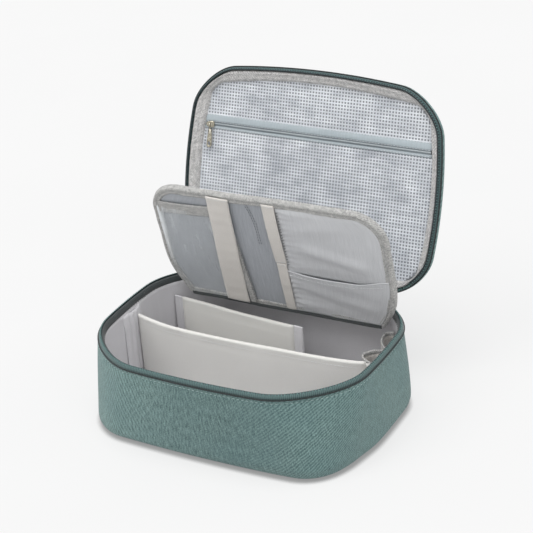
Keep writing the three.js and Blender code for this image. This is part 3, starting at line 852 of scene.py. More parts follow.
def make_case_band():
    """The dark tape that covers the raw edge inside the rim."""
    rows = []
    for t in np.linspace(0, 1, 9):
        bow = 0.7 * math.sin(math.pi * t) + 0.35 * value_noise(WALL_LENGTH / 26, t * 1.5, 11)
        rows.append(wall_ring(5.2, 77.4 + 7.2 * t, -bow))
    rows.append(wall_ring(3.9, 84.9))
    rows.append(wall_ring(2.6, 84.2))
    band = grid("case_inner_band", rows, DARK_BAND, wrap_v=True, flip=False)
    ride_case(band, "dark_trim", "base_rim_binding")
    path = wall_ring(6.0, 78.8)
    inward = -flat_normals(path[:, :2])
    ride_case(stitches("case_band_stitches", path, inward, DARK_THREAD, 2.2, 1.4, 0.24, True), "dark_trim")


# ---------------------------------------------------------------- case: lining, dividers, bottle cells
def lining_fold(height):
    """How far the loose lining stands off the wall, point by point."""
    s = WALL_LENGTH
    hang = math.sin(math.pi * min(max(height / 80, 0), 1))
    folds = 0.8 * value_noise(s / 13, height / 90, 21) + 0.5 * value_noise(s / 5.2, height / 70, 22)
    drift = 0.8 * value_noise(s / 40, height / 50, 23)
    pleat_place = WALL_LENGTH[FRONT_STEPS // 2 + CORNER_STEPS + 1 + SIDE_STEPS // 2]
    near_tab = np.exp(-((s - pleat_place) / 26) ** 2)
    pleats = 1.5 * np.maximum(np.sin(s * 2 * math.pi / 8.5), 0) * near_tab
    return (folds + drift + pleats) * (0.35 + 0.65 * hang) + 0.8


def make_case_lining():
    rows = [wall_ring(5.0, 79.0)]
    for height in np.linspace(77.5, 12, 24):
        rows.append(wall_ring(5.2, height, -np.clip(lining_fold(height), 0, 3.0)))
    rows.append(wall_ring(8.5, FLOOR_HEIGHT + 2.2))
    rows.append(wall_ring(12, FLOOR_HEIGHT + 0.4))
    wall = grid("case_wall_lining", rows, LINING, wrap_v=True, flip=True)
    ride_case(wall, "lining", "base_lining_wall", "base_wall_foam")
    rows = []
    for k, share in enumerate(np.linspace(1, 0.04, 18)):
        ring = shrunk(foot_outline(9), share)
        broad = value_noise(ring[:, 0] / 34, ring[:, 1] / 34, 31)
        puff = 0.5 * broad + 0.25 * value_noise(ring[:, 0] / 9, ring[:, 1] / 11, 32)
        edge = -2.5 * math.exp(-k / 1.2)
        rows.append(np.column_stack([ring, FLOOR_HEIGHT + 0.3 + puff * 0.5 + edge]))
    floor = grid("case_floor_lining", rows, LINING, wrap_v=True, cloth=[row[:, :2] for row in rows])
    close_ring(floor, range(len(floor.data.vertices) - len(rows[0]), len(floor.data.vertices)), (0, 0, 1))
    ride_case(floor, "lining", "base_lining_floor", "base_bottom_board")


PAD_FOOT = 7.2
PAD_HALF = 2.3
FRONT_PAD_TOP = 71.9
REAR_PAD_TOP = 66.4


def padded_wall(name, line, low, high, half, material, seed, top_dip=None):
    """A soft upright pad along a plan line: rounded top, sides that swell between its edges."""
    line = np.asarray(line, float)
    normal = left_normals(line)
    s = arc_length(line, False)
    total = s[-1]
    dip = np.zeros(len(line)) if top_dip is None else top_dip(s)
    face_steps = 16
    rise = np.linspace(0, 1, face_steps)
    turn = np.radians(np.linspace(0, 180, 9))[1:-1]
    end_round = np.clip(np.minimum(s, total - s) / (half * 1.2), 0, 1)
    end_round = np.sqrt(np.clip(1 - (1 - end_round) ** 2, 0.02, 1))
    sections = []
    for n in range(len(line)):
        top = high - half + dip[n]
        points = []
        for side, order in ((1, rise), (-1, rise[::-1])):
            for t in order:
                height = low + (top - low) * t
                swell = 0.9 * math.sin(math.pi * t) + 0.55 * value_noise(s[n] / 17, height / 55, seed + side)
                pinch = -0.55 * math.exp(-((top - height - 3.5) / 1.2) ** 2)
                points.append(((side * (half + swell * 0.55 + pinch) * end_round[n]), height))
            if side == 1:
                for angle in turn:
                    points.append((half * math.cos(angle) * end_round[n], top + half * math.sin(angle)))
        sections.append([[*(line[n] + normal[n] * across), height] for across, height in points])
    return grid(name, sections, material, wrap_v=True, caps=True)


def make_front_divider():
    x = np.linspace(-124.6, 113.6, 90)
    wave = 0.7 * np.sin(x / 31) * smoothstep(-126, -100, x)
    line = np.column_stack([x, -5 + 8 * (x / 114) ** 4 + wave])

    def dip(s):
        return -0.7 - 1.6 * np.sin(math.pi * s / s[-1]) ** 2 * 0.5 + 0.5 * value_noise(s / 38, 0, 41)

    pad = padded_wall("front_divider_pad", line, PAD_FOOT, FRONT_PAD_TOP, PAD_HALF, DIVIDER, 42, dip)
    ride_case(pad, "lining", "front_divider")
    normal = left_normals(line)
    top = FRONT_PAD_TOP - PAD_HALF + dip(arc_length(line, False))
    for side, word in ((-1, "front"), (1, "back")):
        path = at_height(line + normal * side * 2.05, top - 3.5)[3:-3]
        face = at_height(normal * side, 0)[3:-3]
        ride_case(stitches("front_divider_stitch_" + word, path, face, LIGHT_THREAD, 2.4, 1.2, 0.22),
                  "lining")


def folded_tab(name, line, low, high, folds, depth, material, seed, climb=0.0, lean=0.0):
    """A loose strip of lining between a divider and the wall, gathered into upright folds."""
    line = resample(np.asarray(line, float), 60)
    normal = left_normals(line)
    t = np.linspace(0, 1, len(line))
    rows = []
    for rise in np.linspace(0, 1, 20):
        height = low + (high - low) * rise + climb * rise * smoothstep(0.3, 1, t)
        height = height - 1.2 * math.exp(-(1 - rise) * 8) * value_noise(t * 4, 0, seed)
        wave = depth * np.sin(t * folds * 2 * math.pi + 0.6 * value_noise(rise * 3, 0, seed + 1))
        wave = wave * np.sin(math.pi * t) ** 0.5 * (0.6 + 0.4 * rise)
        wave = wave + lean * smoothstep(0.8, 1, rise)
        rows.append(at_height(line + normal * wave[:, None], height))
    piece = grid(name, rows, material)
    add_thickness(piece, 0.9, 0.0)
    return piece


def make_divider_tabs():
    left = folded_tab("front_divider_tab_left_cloth",
                      [(-126.6, -15), (-125.2, -4), (-125.2, 4), (-126.6, 15)],
                      12, 76.0, 4, 0.5, LINING, 51, 0.0, 1.6)
    ride_case(left, "lining", "front_divider_tab_left")
    right = folded_tab("front_divider_tab_right_cloth",
                       [(113.2, 2.6), (117, 1.6), (120.5, -1.2), (123.2, -5.5), (124.6, -11), (125, -17)],
                       12, 70.0, 2, 0.5, DIVIDER, 53, 5.0)
    ride_case(right, "lining", "front_divider_tab_right")


def make_rear_divider():
    start, end = np.array([-107.5, 58.0]), np.array([20.0, 46.0])
    t = np.linspace(0, 1, 56)[:, None]
    line = start * (1 - t) + end * t
    line[:, 1] += 1.0 * np.sin(math.pi * t[:, 0] * 2) * 0.6

    def dip(s):
        return -0.5 - 0.9 * np.sin(math.pi * s / s[-1]) ** 2 + 0.4 * value_noise(s / 30, 0, 61)

    pad = padded_wall("rear_divider_pad", line, PAD_FOOT, REAR_PAD_TOP, PAD_HALF, DIVIDER, 62, dip)
    ride_case(pad, "lining", "rear_divider")
    along = (end - start) / np.linalg.norm(end - start)
    for word, base, direction in (("left", start, -along), ("right", end, along)):
        places = base + direction * np.linspace(-0.6, 9.0, 24)[:, None]
        band = padded_wall(f"rear_divider_band_{word}", places, PAD_FOOT, REAR_PAD_TOP - 0.2, 1.05, LINING, 65)
        ride_case(band, "lining", f"rear_divider_tab_{word}")
        for side in (-1, 1):
            face = np.array([-along[1], along[0]]) * side
            spot = base + direction * 2.2 + face * 1.5
            path = np.column_stack([np.repeat(spot[None], 30, 0), np.linspace(10, 63, 30)])
            thread = stitches(f"rear_divider_stitch_{word}_{'ab'[side > 0]}", path, [*face, 0.0],
                              LIGHT_THREAD, 2.2, 1.2, 0.22)
            ride_case(thread, "lining")


def pocket_line():
    """The plan line of the side pocket's cloth, round its two bottle cells."""
    plan = rounded_outline(RIM, 6.1)
    side = plan[(plan[:, 0] > 0) & (plan[:, 1] > -20) & (plan[:, 1] < 80)]
    side = side[np.argsort(side[:, 1])]
    points = []
    for low, high, bulge in ((6, 32, 24), (32, 64, 15)):
        for turn in np.linspace(0, math.pi, 30, endpoint=low == 32):
            y = (low + high) / 2 - (high - low) / 2 * math.cos(turn) * (1 - 0.12 * math.sin(turn) ** 2)
            points.append((np.interp(y, side[:, 1], side[:, 0]) - 1 - bulge * math.sin(turn) ** 0.85, y))
    return np.array(points)


def make_side_pocket():
    line = pocket_line()
    s = arc_length(line, False)
    normal = left_normals(line)
    rows = []
    for t in np.linspace(0, 1, 18):
        height = PAD_FOOT + 57.2 * t
        gather = 0.45 * np.sin(s * 2 * math.pi / 3.4 + 0.9 * value_noise(s / 9, t * 2,
                                                                         71)) * (0.35 + 0.65 * t)
        rows.append(at_height(line + normal * gather[:, None], height))
    sheet = grid("side_pocket_cloth", rows, ELASTIC)
    add_thickness(sheet, 0.9, 0.0)
    ride_case(sheet, "elastic", "side_pocket_elastic")
    path = at_height(line, 66.0 + 0.3 * np.sin(s / 2.1))
    sideways = at_height(normal, 0)
    upward = np.broadcast_to([0.0, 0, 1], path.shape)
    width = 1 + 0.08 * np.sin(s * 2 * math.pi / 3.4)
    hem = profile_sweep("side_pocket_hem_roll", path, sideways, upward, round_profile(0.95, 12, 2.1), BINDING,
                        scale=width)
    ride_case(hem, "binding", "side_pocket_hem")
    low = path.copy()
    low[:, 2] = 64.4
    for side in (-1, 1):
        thread = stitches(f"side_pocket_stitch_{'ab'[side > 0]}", low + sideways * side * 0.75,
                          sideways * side,
                          BINDING_THREAD, 2.0, 1.2, 0.2)
        ride_case(thread, "binding")


# ---------------------------------------------------------------- lid shell
def lid_ring(inset, w, push=0.0):
    """The lid's outline at one depth in world millimetres; push moves it out along the outline's normal."""
    plan = lid_outline(inset)
    plan = plan + outward(plan) * np.broadcast_to(push, (len(plan),))[:, None]
    return at_height(plan, w)


LID_LENGTH = around_length(lid_ring(0, 0))
LID_DEPTH = 15.0
LID_SEAM = -6.4


def lid_shell_rows():
    s = LID_LENGTH
    rows = []
    for share in (0.04, 0.15, 0.3, 0.45, 0.6, 0.72, 0.82, 0.9, 0.96, 1.0):
        plan = shrunk(lid_outline(6.5), share)
        crown = 1.9 * (1 - share**4)
        soft = 0.6 * value_noise(plan[:, 0] / 45, plan[:, 1] / 45, 81) * smoothstep(1, 0.8, share)
        rows.append(np.column_stack([plan, -LID_DEPTH + 0.7 - crown - soft]))
    for turn in np.radians(np.linspace(8, 88, 8)):
        rows.append(lid_ring(4.2 * (1 - math.sin(turn)), -LID_DEPTH + 0.3 + 4.2 * (1 - math.cos(turn)) * 0.9))
    for t in np.linspace(0.15, 1, 8):
        w = -LID_DEPTH + 4.1 + (LID_SEAM - 0.1 + LID_DEPTH - 4.1) * t
        pull = 0.25 * value_noise(s / 5, t * 2, 82) * t - 0.4 * math.exp(-(1 - t) * 5)
        rows.append(lid_ring(0, w, 0.5 * math.sin(math.pi * t) + pull))
    rows.append(lid_ring(1.0, LID_SEAM + 0.25))
    rows.append(lid_ring(2.6, LID_SEAM + 0.1))
    return rows


def make_lid_shell():
    local = np.array(lid_shell_rows())
    depth = np.cumsum(np.linalg.norm(np.diff(local, axis=0, prepend=local[:1]), axis=2), 0)
    side = depth - depth[9]
    unfolded = outward(local[9, :, :2])[None] * np.clip(side, 0, None)[:, :, None]
    cloth = np.where(side[:, :, None] > 0, local[9, :, :2][None] + unfolded, local[:, :, :2])
    cloth = cloth[:, :, ::-1] + np.array([0, 130.0])
    rows = [LID_PLANE.place(row) for row in local]
    shell = grid("lid_outer_fabric", rows, OXFORD, wrap_v=True, cloth=cloth)
    close_ring(shell, range(len(rows[0])), -LID_PLANE.out)
    ride_lid(shell, "outer_fabric", "lid_outer_panel", "lid_side_strip")
    path = LID_PLANE.place(lid_ring(0, LID_SEAM - 2.6, 0.25))
    centre = path.mean(0)
    outside = path - centre
    ride_lid(stitches("lid_topstitch", path, outside, TOPSTITCH, 2.5, 1.7, 0.28, True), "outer_fabric")


def lid_sweep(name, inset, w, profile, material, closed=True):
    """Carries a profile of (inward, out of the inner face) offsets round the lid."""
    plan = lid_outline(inset)
    inward = -flat_normals(plan)
    path = at_height(plan, w)
    if not closed:
        path, inward = path[ZIP_FIRST:ZIP_LAST + 1], inward[ZIP_FIRST:ZIP_LAST + 1]
    path_w = LID_PLANE.place(path)
    sideways = LID_PLANE.place(path + inward) - path_w
    upward = np.broadcast_to(LID_PLANE.out, path_w.shape)
    return profile_sweep(name, path_w, sideways, upward, profile, material, closed)


def make_lid_rim():
    ride_lid(lid_sweep("lid_edge_cord", 0.0, -5.55, round_profile(0.62, 8), PIPING), "dark_trim",
             "lid_rim_piping")
    lean = [(0.4, -0.6), (0.9, -0.6), (1.5, 1.0), (2.5, 2.2), (2.1, 2.6), (1.1, 1.3)]
    ride_lid(lid_sweep("lid_rim_tape", 0, -5.4, lean, LID_TAPE_SHADED, False), "zip_tape", "lid_zip_tape")
    plan = lid_outline(2.45)[ZIP_FIRST:ZIP_LAST + 1]
    inward = -outward(lid_outline(2.45))[ZIP_FIRST:ZIP_LAST + 1]
    both = spaced(np.column_stack([plan, inward]), COIL_PITCH)
    centres = at_height(both[:, :2], -2.7)
    world = LID_PLANE.place(centres)
    direction = LID_PLANE.place(centres + at_height(both[:, 2:], 0)) - world
    slant = LID_PLANE.out + direction * 0.7
    teeth = bars("lid_coil_teeth", world, slant, LID_PLANE.out - direction * 0.9, LID_COIL_LIGHT_AND_SHADE, 2.4, 0.58, 0.5)
    ride_lid(teeth, "zip_coil", "lid_zip_coil")
    # Near-black cord under the lid's teeth: real cord, and painted shade in the gaps.
    ride_lid(lid_sweep("lid_coil_cord_and_gap_shade", 0, -2.3, COIL_BED, CORD_AND_GAP_SHADE, False), "zip_coil")


def binding_ring(share, w):
    """A line along the lid's binding, from its outer edge at 0 to its squarer inner edge at 1."""
    plan = lid_outline(3.9) * (1 - share) + lid_outline(12.2, 13.0, 2.2) * share
    plan = plan + outward(plan) * (0.45 * value_noise(LID_LENGTH / 26, 0, 93) * share)[:, None]
    return at_height(plan, w)


def make_lid_binding():
    """The folded tape round the lid's inner edge: a full outer fold, a groove, and a flatter inner fold."""
    s = LID_LENGTH
    across = np.array([0, 0.06, 0.15, 0.25, 0.35, 0.45, 0.56, 0.68, 0.8, 0.9, 0.97, 1.0])
    heights = np.array([-4.3, -3.3, -2.8, -2.75, -3.1, -3.9, -4.4, -4.45, -4.7, -5.2, -6.0, -6.9])
    rows = [lid_ring(3.3, -6.4), lid_ring(3.6, -5.6)]
    for k, w in enumerate(heights):
        ripple = 0.3 * value_noise(s / 8, across[k] * 2, 91) + 0.16 * value_noise(s / 2.6, across[k] * 3, 92)
        rows.append(binding_ring(across[k], w + ripple))
    rows.append(binding_ring(1.06, -7.9))
    band = grid("lid_binding_tape", [LID_PLANE.place(r) for r in rows], LID_BINDING_LIT, wrap_v=True, flip=False)
    fix_normals(band, LID_PLANE.out)
    ride_lid(band, "binding", "lid_binding")
    for word, inset in (("inner", 12.6), ("outer", 8.7)):
        path = LID_PLANE.place(binding_ring((inset - 3.9) / 10.7, -4.55 if word == "inner" else -3.8))
        thread = stitches(f"lid_binding_stitch_{word}", path, LID_PLANE.out, BINDING_THREAD, 2.3, 1.1, 0.24,
                          True)
        ride_lid(thread, "binding")


def sheet_on(plane, name, rows, material, thickness=0.0, toward=1):
    """A sheet through rows of points in a hinged board's own frame; toward=-1 makes it face the back."""
    piece = grid(name, plane.place(np.array(rows)), material)
    fix_normals(piece, plane.out * toward)
    if thickness:
        add_thickness(piece, thickness)
    return piece


def lid_sheet(name, low, high, inset, material, wave, w, step=3.0):
    """A sheet over the part of the lid's inner face between two heights, with gentle waves."""
    outline = lid_outline(inset)
    rows = []
    count = max(int((high - low) / step), 2)
    for v in np.linspace(low, high, count):
        left, right = chord(outline, v)
        x = np.linspace(left, right, 76)
        rows.append(line_of(x, v, w + wave(x, v)))
    return sheet_on(LID_PLANE, name, rows, material)


def chord(outline, v):
    """Where a line across meets an outline: its left and right ends."""
    nxt = np.roll(outline, -1, 0)
    crosses = (outline[:, 1] - v) * (nxt[:, 1] - v) <= 0
    a, b = outline[crosses], nxt[crosses]
    rise = np.where(np.abs(b[:, 1] - a[:, 1]) < 1e-9, 1e-9, b[:, 1] - a[:, 1])
    x = a[:, 0] + (b[:, 0] - a[:, 0]) * np.clip((v - a[:, 1]) / rise, 0, 1)
    return (x.min(), x.max()) if len(x) else (-1.0, 1.0)


def mesh_wave(x, v):
    """The shallow waves of the mesh pockets, in millimetres off their plane."""
    x, v = np.asarray(x, float), np.asarray(v, float)
    broad = 0.45 * value_noise(x / 46, v / 34, 101)
    fine = 0.22 * value_noise(x / 15, v / 12, 102)
    return broad + fine


def make_lid_lining():
    def wave(x, v):
        return 0.35 * value_noise(x / 40, v / 40, 111) + 0.15 * value_noise(x / 12, v / 14, 112)
    top = lid_outline(5)[:, 1].max()
    piece = lid_sheet("lid_inner_lining", 5.2, top - 0.2, 5, LID_LINING_PAINTED_SHADE, wave, -9.8)
    ride_lid(piece, "lining", "lid_lining", "lid_board")


MESH_PITCH = 3.05
MESH_THREAD = 0.68
MESH_OUT = -7.75


def grid_threads(name, low, high, inset):
    """The printed grid of a mesh pocket: fine threads both ways that follow the pocket's waves."""
    outline = lid_outline(inset)
    vertices, faces = [], []

    def thread(points):
        along = np.gradient(points, axis=0)
        along /= np.linalg.norm(along, axis=1)[:, None]
        side = np.cross(along, [0, 0, 1])
        base = len(vertices)
        for p, q in zip(points, side):
            vertices.extend([p + q * MESH_THREAD, p + [0, 0, 0.3], p - q * MESH_THREAD])
        for k in range(len(points) - 1):
            a = base + 3 * k
            faces.append((a, a + 1, a + 4, a + 3))
            faces.append((a + 1, a + 2, a + 5, a + 4))

    for v in np.arange(low + 0.6, high - 0.2, MESH_PITCH):
        left, right = chord(outline, v)
        x = np.arange(left + 0.5, right - 0.5, 2.6)
        if len(x) > 2:
            thread(line_of(x, v, MESH_OUT + mesh_wave(x, v)))
    for x in np.arange(-126.5, 127, MESH_PITCH):
        heights = np.arange(low + 0.3, high - 0.1, 2.2)
        spans = np.array([chord(outline, v) for v in heights])
        inside = (spans[:, 0] < x) & (spans[:, 1] > x)
        v = heights[inside]
        if len(v) > 2:
            thread(line_of(x, v, MESH_OUT + mesh_wave(x, v)))
    piece = make_object(name, LID_PLANE.place(np.array(vertices)), faces, GRID_THREAD)
    return piece


def make_mesh_pockets():
    top = lid_outline(7)[:, 1].max()
    for word, low, high in (("lower", 7.2, 129.4), ("upper", 142.0, top - 0.3)):
        film = lid_sheet(f"mesh_film_{word}", low, high, 7, FILM, mesh_wave, -7.85, 2.4)
        ride_lid(film, "grid_mesh", f"mesh_pocket_{word}")
        ride_lid(grid_threads(f"mesh_grid_{word}", low, high, 7), "grid_mesh")


def pocket_tape(name, low, high, out, bulge, ripple, seed):
    """A flat tape across the lid with softly rounded edges."""
    x = np.linspace(POCKET_ZIP_LEFT, POCKET_ZIP_RIGHT, 90)
    rows = []
    for t in np.linspace(0, 1, 6):
        lift = bulge * math.sin(math.pi * t) + ripple * value_noise(x / 14, t * 2, seed)
        rows.append(line_of(x, low + (high - low) * t, out + lift))
    return sheet_on(LID_PLANE, name, rows, POCKET_TAPE, 0.6)


POCKET_ZIP_LEFT, POCKET_ZIP_RIGHT = -116.5, 121.0


def make_pocket_zip():
    upper = pocket_tape("pocket_zip_tape_top", 135.2, 142.2, -7.5, 0.4, 0.25, 131)
    ride_lid(upper, "pocket_tape", "pocket_zip_tape_upper")
    lower = pocket_tape("pocket_zip_tape_under", 128.4, 131.8, -7.6, 0.3, 0.1, 132)
    ride_lid(lower, "pocket_tape", "pocket_zip_tape_lower")
    x = np.arange(-115.2, 120.0, 1.15)
    for word, v, tilt, plastic, nodes in (("a", 132.2, 0.2, POCKET_COIL, ["pocket_zip_coil"]),
                                          ("b", 134.8, -0.2, POCKET_COIL, []), ("c", 133.5, 0.1, POCKET_LINE, [])):
        centres = LID_PLANE.place(line_of(x, v, -7.25))
        along = np.broadcast_to(LID_PLANE.up + np.array([tilt, 0, 0]), centres.shape)
        teeth = bars(f"pocket_coil_{word}", centres, along, LID_PLANE.out, plastic, 1.5, 0.46, 0.5)
        ride_lid(teeth, "pocket_coil", *nodes)
    for word, v in (("low", 129.6), ("high", 135.4), ("top", 141.8)):
        path = LID_PLANE.place(line_of(x, v, -7.15))
        thread = stitches(f"pocket_zip_stitch_{word}", path, LID_PLANE.out, LIGHT_THREAD, 2.0, 1.1, 0.2)
        ride_lid(thread, "pocket_tape")


# ---------------------------------------------------------------- metal sliders and pulls
def loft_rings(name, rings, material):
    """A closed body through a list of matching rings."""
    return face_outward(grid(name, rings, material, wrap_v=True, caps=True))


def slider_rings(length, width, nose, low, high):
    """A slider body seen from above as a rounded wedge, with a domed top: local (along, across, up)."""
    half = length / 2
    t = np.linspace(0, 1, 40, endpoint=False) * 2 * math.pi
    along = half * np.sign(np.cos(t)) * np.abs(np.cos(t)) ** 0.6
    share = (along + half) / length
    reach = (nose + (width - nose) * smoothstep(0.1, 0.8, share)) / 2
    across = reach * np.sign(np.sin(t)) * np.abs(np.sin(t)) ** 0.55
    rings = []
    for scale, up in ((0.90, low), (1.0, low + 0.3), (1.0, low + 0.8), (0.93, low + 0.95), (0.93, high - 0.95),
                      (1.0, high - 0.8), (1.0, high - 0.35), (0.92, high), (0.6, high + 0.1)):
        rings.append(np.column_stack([along * scale, across * scale, np.full(len(t), up)]))
    return rings


def pull_piece(name, place, length, width, thickness, material):
    """A flat pull with a round end and a hole, hanging from its pivot: local (across, up, out)."""
    radius = width / 2
    steps = 44
    angle = np.linspace(0, 2 * math.pi, steps, endpoint=False) - math.pi / 2
    outer, inner = [], []
    for a in angle:
        x, y = math.cos(a), math.sin(a)
        if y < 0:
            outer.append((radius * x, -length + radius + radius * y))
        else:
            top = -0.8
            t = y
            outer.append((radius * (abs(x) ** 0.5) * np.sign(x) * (1 - 0.28 * t), -length + radius
                          + (length - radius + top) * (t ** 0.8)))
        inner.append((radius * 0.5 * x, -length + radius + 1.2 + (radius * 0.5) * y * 1.35))
    outer, inner = np.array(outer), np.array(inner)
    half = thickness / 2
    rim = [(0.94, half), (1.0, half * 0.55), (1.0, -half * 0.55), (0.94, -half)]
    centre = outer.mean(0)
    rings = []
    for scale, out in rim:
        flat = centre + (outer - centre) * np.array([scale, 0.5 + scale / 2])
        rings.append(np.column_stack([flat, np.full(steps, out)]))
    hole_centre = inner.mean(0)
    for scale, out in ((1.12, -half), (1.0, -half * 0.6), (1.0, half * 0.6), (1.12, half)):
        flat = hole_centre + (inner - hole_centre) * scale
        rings.append(np.column_stack([flat, np.full(steps, out)]))
    return face_outward(grid(name, place(np.array(rings)), material, wrap_u=True, wrap_v=True))


def bridge_loop(name, place, span, height, radius, material):
    """A small arch of wire on a slider that holds its pull: local (along, across, up)."""
    turn = np.radians(np.linspace(0, 180, 15))
    path = line_of(span / 2 * np.cos(turn), 0, height * np.sin(turn))
    world = place(path)
    along = np.gradient(world, axis=0)
    along /= np.linalg.norm(along, axis=1)[:, None]
    side = place(path + np.array([0, 1.0, 0])) - world
    above = np.cross(along, side)
    return profile_sweep(name, world, side, above, round_profile(radius, 8, 1.0), material)


POCKET_SLIDER_X = -110.0
POCKET_SLIDER_V = 133.7


def local_frame(origin, first, second, third):
    """A function that puts (first, second, third) offsets into the scene from an origin, in millimetres."""
    def place(local):
        local = np.asarray(local, float)
        return origin + local[..., :1] * first + local[..., 1:2] * second + local[..., 2:3] * third
    return place


def make_pocket_slider():
    across = np.array([1.0, 0, 0])
    up, out = LID_PLANE.up, LID_PLANE.out
    lean = LID_PLANE.lean * across

    def on_lid(v, w):
        return LID_PLANE.place(np.array([POCKET_SLIDER_X, v, w]))

    body_place = local_frame(on_lid(POCKET_SLIDER_V - 1.2, 0), across, up + lean, out)
    body = loft_rings("pocket_slider_body", body_place(np.array(slider_rings(8.6, 6.6, 4.4, -6.85, -4.9))),
                      PALE_GOLD)
    ride_body(body, "pocket_slider", "metal", "pocket_slider")
    loop_place = local_frame(on_lid(POCKET_SLIDER_V - 2.6, -5.2), up + lean, across, out)
    loop = bridge_loop("pocket_slider_loop", loop_place, 5.0, 1.5, 0.55, PALE_GOLD)
    ride_body(loop, "pocket_slider", "metal")
    pull_place = local_frame(on_lid(129.0, -5.8), across, up + lean, out)
    pull = pull_piece("pocket_slider_pull", pull_place, 19, 5.4, 1.2, PALE_GOLD)
    ride_body(pull, "pocket_pull", "metal", "pocket_pull")


MAIN_SLIDER_ANGLE = 51.5
MAIN_SLIDER_OUT = 0.6
MAIN_SLIDER_HEIGHT = 86.0


def make_main_sliders():
    """The two sliders of the main zip, parked on the rim's back corners."""
    up = np.array([0, 0, 1.0])
    angle = math.radians(MAIN_SLIDER_ANGLE)
    radius = RIM["radius"]
    for side, word in ((-1, "left"), (1, "right")):
        out = np.array([side * math.cos(angle), math.sin(angle), 0.0])
        along = np.array([side * -math.sin(angle), math.cos(angle), 0.0])
        corner = np.array([side * (RIM["half_x"] - radius), RIM["half_y"] - radius, MAIN_SLIDER_HEIGHT])
        seat = corner + (radius + MAIN_SLIDER_OUT) * out
        rings = np.array(slider_rings(9.4, 5.4, 3.8, -1.8, 1.8))
        body = loft_rings(f"main_slider_body_{word}", local_frame(seat - 2.0 * out, along, up, out)(rings),
                          METAL)
        ride_case(body, "metal", f"main_slider_{word}")
        loop_place = local_frame(seat - 0.1 * out, up, along, out)
        ride_case(bridge_loop(f"main_slider_loop_{word}", loop_place, 4.6, 2.6, 0.55, METAL), "metal")
        pull_place = local_frame(seat + 1.9 * out, along, up, out)
        pull = pull_piece(f"main_zip_pull_{word}", pull_place, 20, 6, 1.2, METAL)
        ride_body(pull, f"main_pull_{word}", "metal", f"main_pull_{word}")


# ---------------------------------------------------------------- fold-out panel
PANEL_TOP, PANEL_FOOT, PANEL_HALF, PANEL_FOOT_HALF = 122.5, -7.0, 119.0, 101.0
PANEL_TAPER, PANEL_RADIUS, PANEL_SHIFT = 45.0, 31.0, 3.0


def panel_outline(inset=0.0):
    """The panel's outline in its own plane, anticlockwise from its right foot."""
    foot, top = PANEL_FOOT + inset, PANEL_TOP - inset
    radius, half = PANEL_RADIUS - inset, PANEL_HALF - inset
    narrowing = (PANEL_HALF - PANEL_FOOT_HALF) / (PANEL_TAPER - PANEL_FOOT) ** 2
    v = np.linspace(foot, PANEL_TAPER, 18, endpoint=False)
    right = [np.column_stack([half - narrowing * (PANEL_TAPER - v) ** 2, v])]
    v = np.linspace(PANEL_TAPER, top - radius, 12, endpoint=False)
    right.append(np.column_stack([np.full(12, half), v]))
    angle = np.radians(np.linspace(0, 90, 24))
    right.append(np.column_stack([half - radius + radius * np.cos(angle),
                                  top - radius + radius * np.sin(angle)]))
    right = np.vstack(right)
    across = np.linspace(right[-1, 0], -right[-1, 0], 52)[1:-1]
    top_edge = np.column_stack([across, np.full(len(across), top)])
    left = right[::-1] * np.array([-1, 1])
    across = np.linspace(left[-1, 0], right[0, 0], 52)[1:-1]
    foot_edge = np.column_stack([across, np.full(len(across), foot)])
    points = np.vstack([right, top_edge, left, foot_edge])
    points[:, 0] += PANEL_SHIFT
    sag = 1.2 * np.sin(points[:, 0] / 37.0) * smoothstep(90, 122, points[:, 1])
    points[:, 1] += np.clip(sag, -1.2, 0.6)
    return points


def panel_sheet(name, left, right, low, high, height, material, step=2.4, columns=60, thickness=0.0,
                toward=1):
    """A sheet on the panel; left and right give its sides from v, height its lift from (x, v)."""
    rows = []
    for v in np.linspace(low, high, max(int((high - low) / step), 3)):
        x = np.linspace(left(v), right(v), columns)
        rows.append(line_of(x, v, height(x, v)))
    return sheet_on(PANEL_PLANE, name, rows, material, thickness, toward)


def panel_edges(inset):
    """Two functions of v that give the panel's left and right edge."""
    outline = panel_outline(inset)
    low, high = outline[:, 1].min() + 0.01, outline[:, 1].max() - 0.01

    def edge(end):
        return lambda v: chord(outline, min(max(float(np.mean(v)), low), high))[end]
    return edge(0), edge(1)


def soft_face(x, v):
    """The padded board's own gentle unevenness."""
    return 0.4 * value_noise(x / 48, v / 44, 141) + 0.15 * value_noise(x / 14, v / 16, 142)


def make_panel_body():
    left, right = panel_edges(1.6)
    top = panel_outline(1.6)[:, 1].max() - 0.3
    front = panel_sheet("panel_front_cloth", left, right, PANEL_FOOT + 1.7, top,
                        lambda x, v: 2.3 + soft_face(x, v),
                        GROUND, 2.4, 84)
    ride_panel(front, "panel_ground", "panel_front_lining", "panel_board")
    back = panel_sheet("panel_back_cloth", left, right, PANEL_FOOT + 1.7, top,
                       lambda x, v: -2.4 - 1.3 * edge_swell(x, v) - 0.6 * soft_face(x * 1.3,
                                                                                    v), SATIN, 2.4, 84,
                       toward=-1)
    ride_panel(back, "lining", "panel_back_lining")


def edge_swell(x, v):
    """0 at the panel's edge and 1 in its middle."""
    x = np.asarray(x, float)
    side = smoothstep(0, 26, PANEL_HALF - np.abs(x - PANEL_SHIFT))
    end = smoothstep(0, 26, min(PANEL_TOP - v, v - PANEL_FOOT))
    return side * end


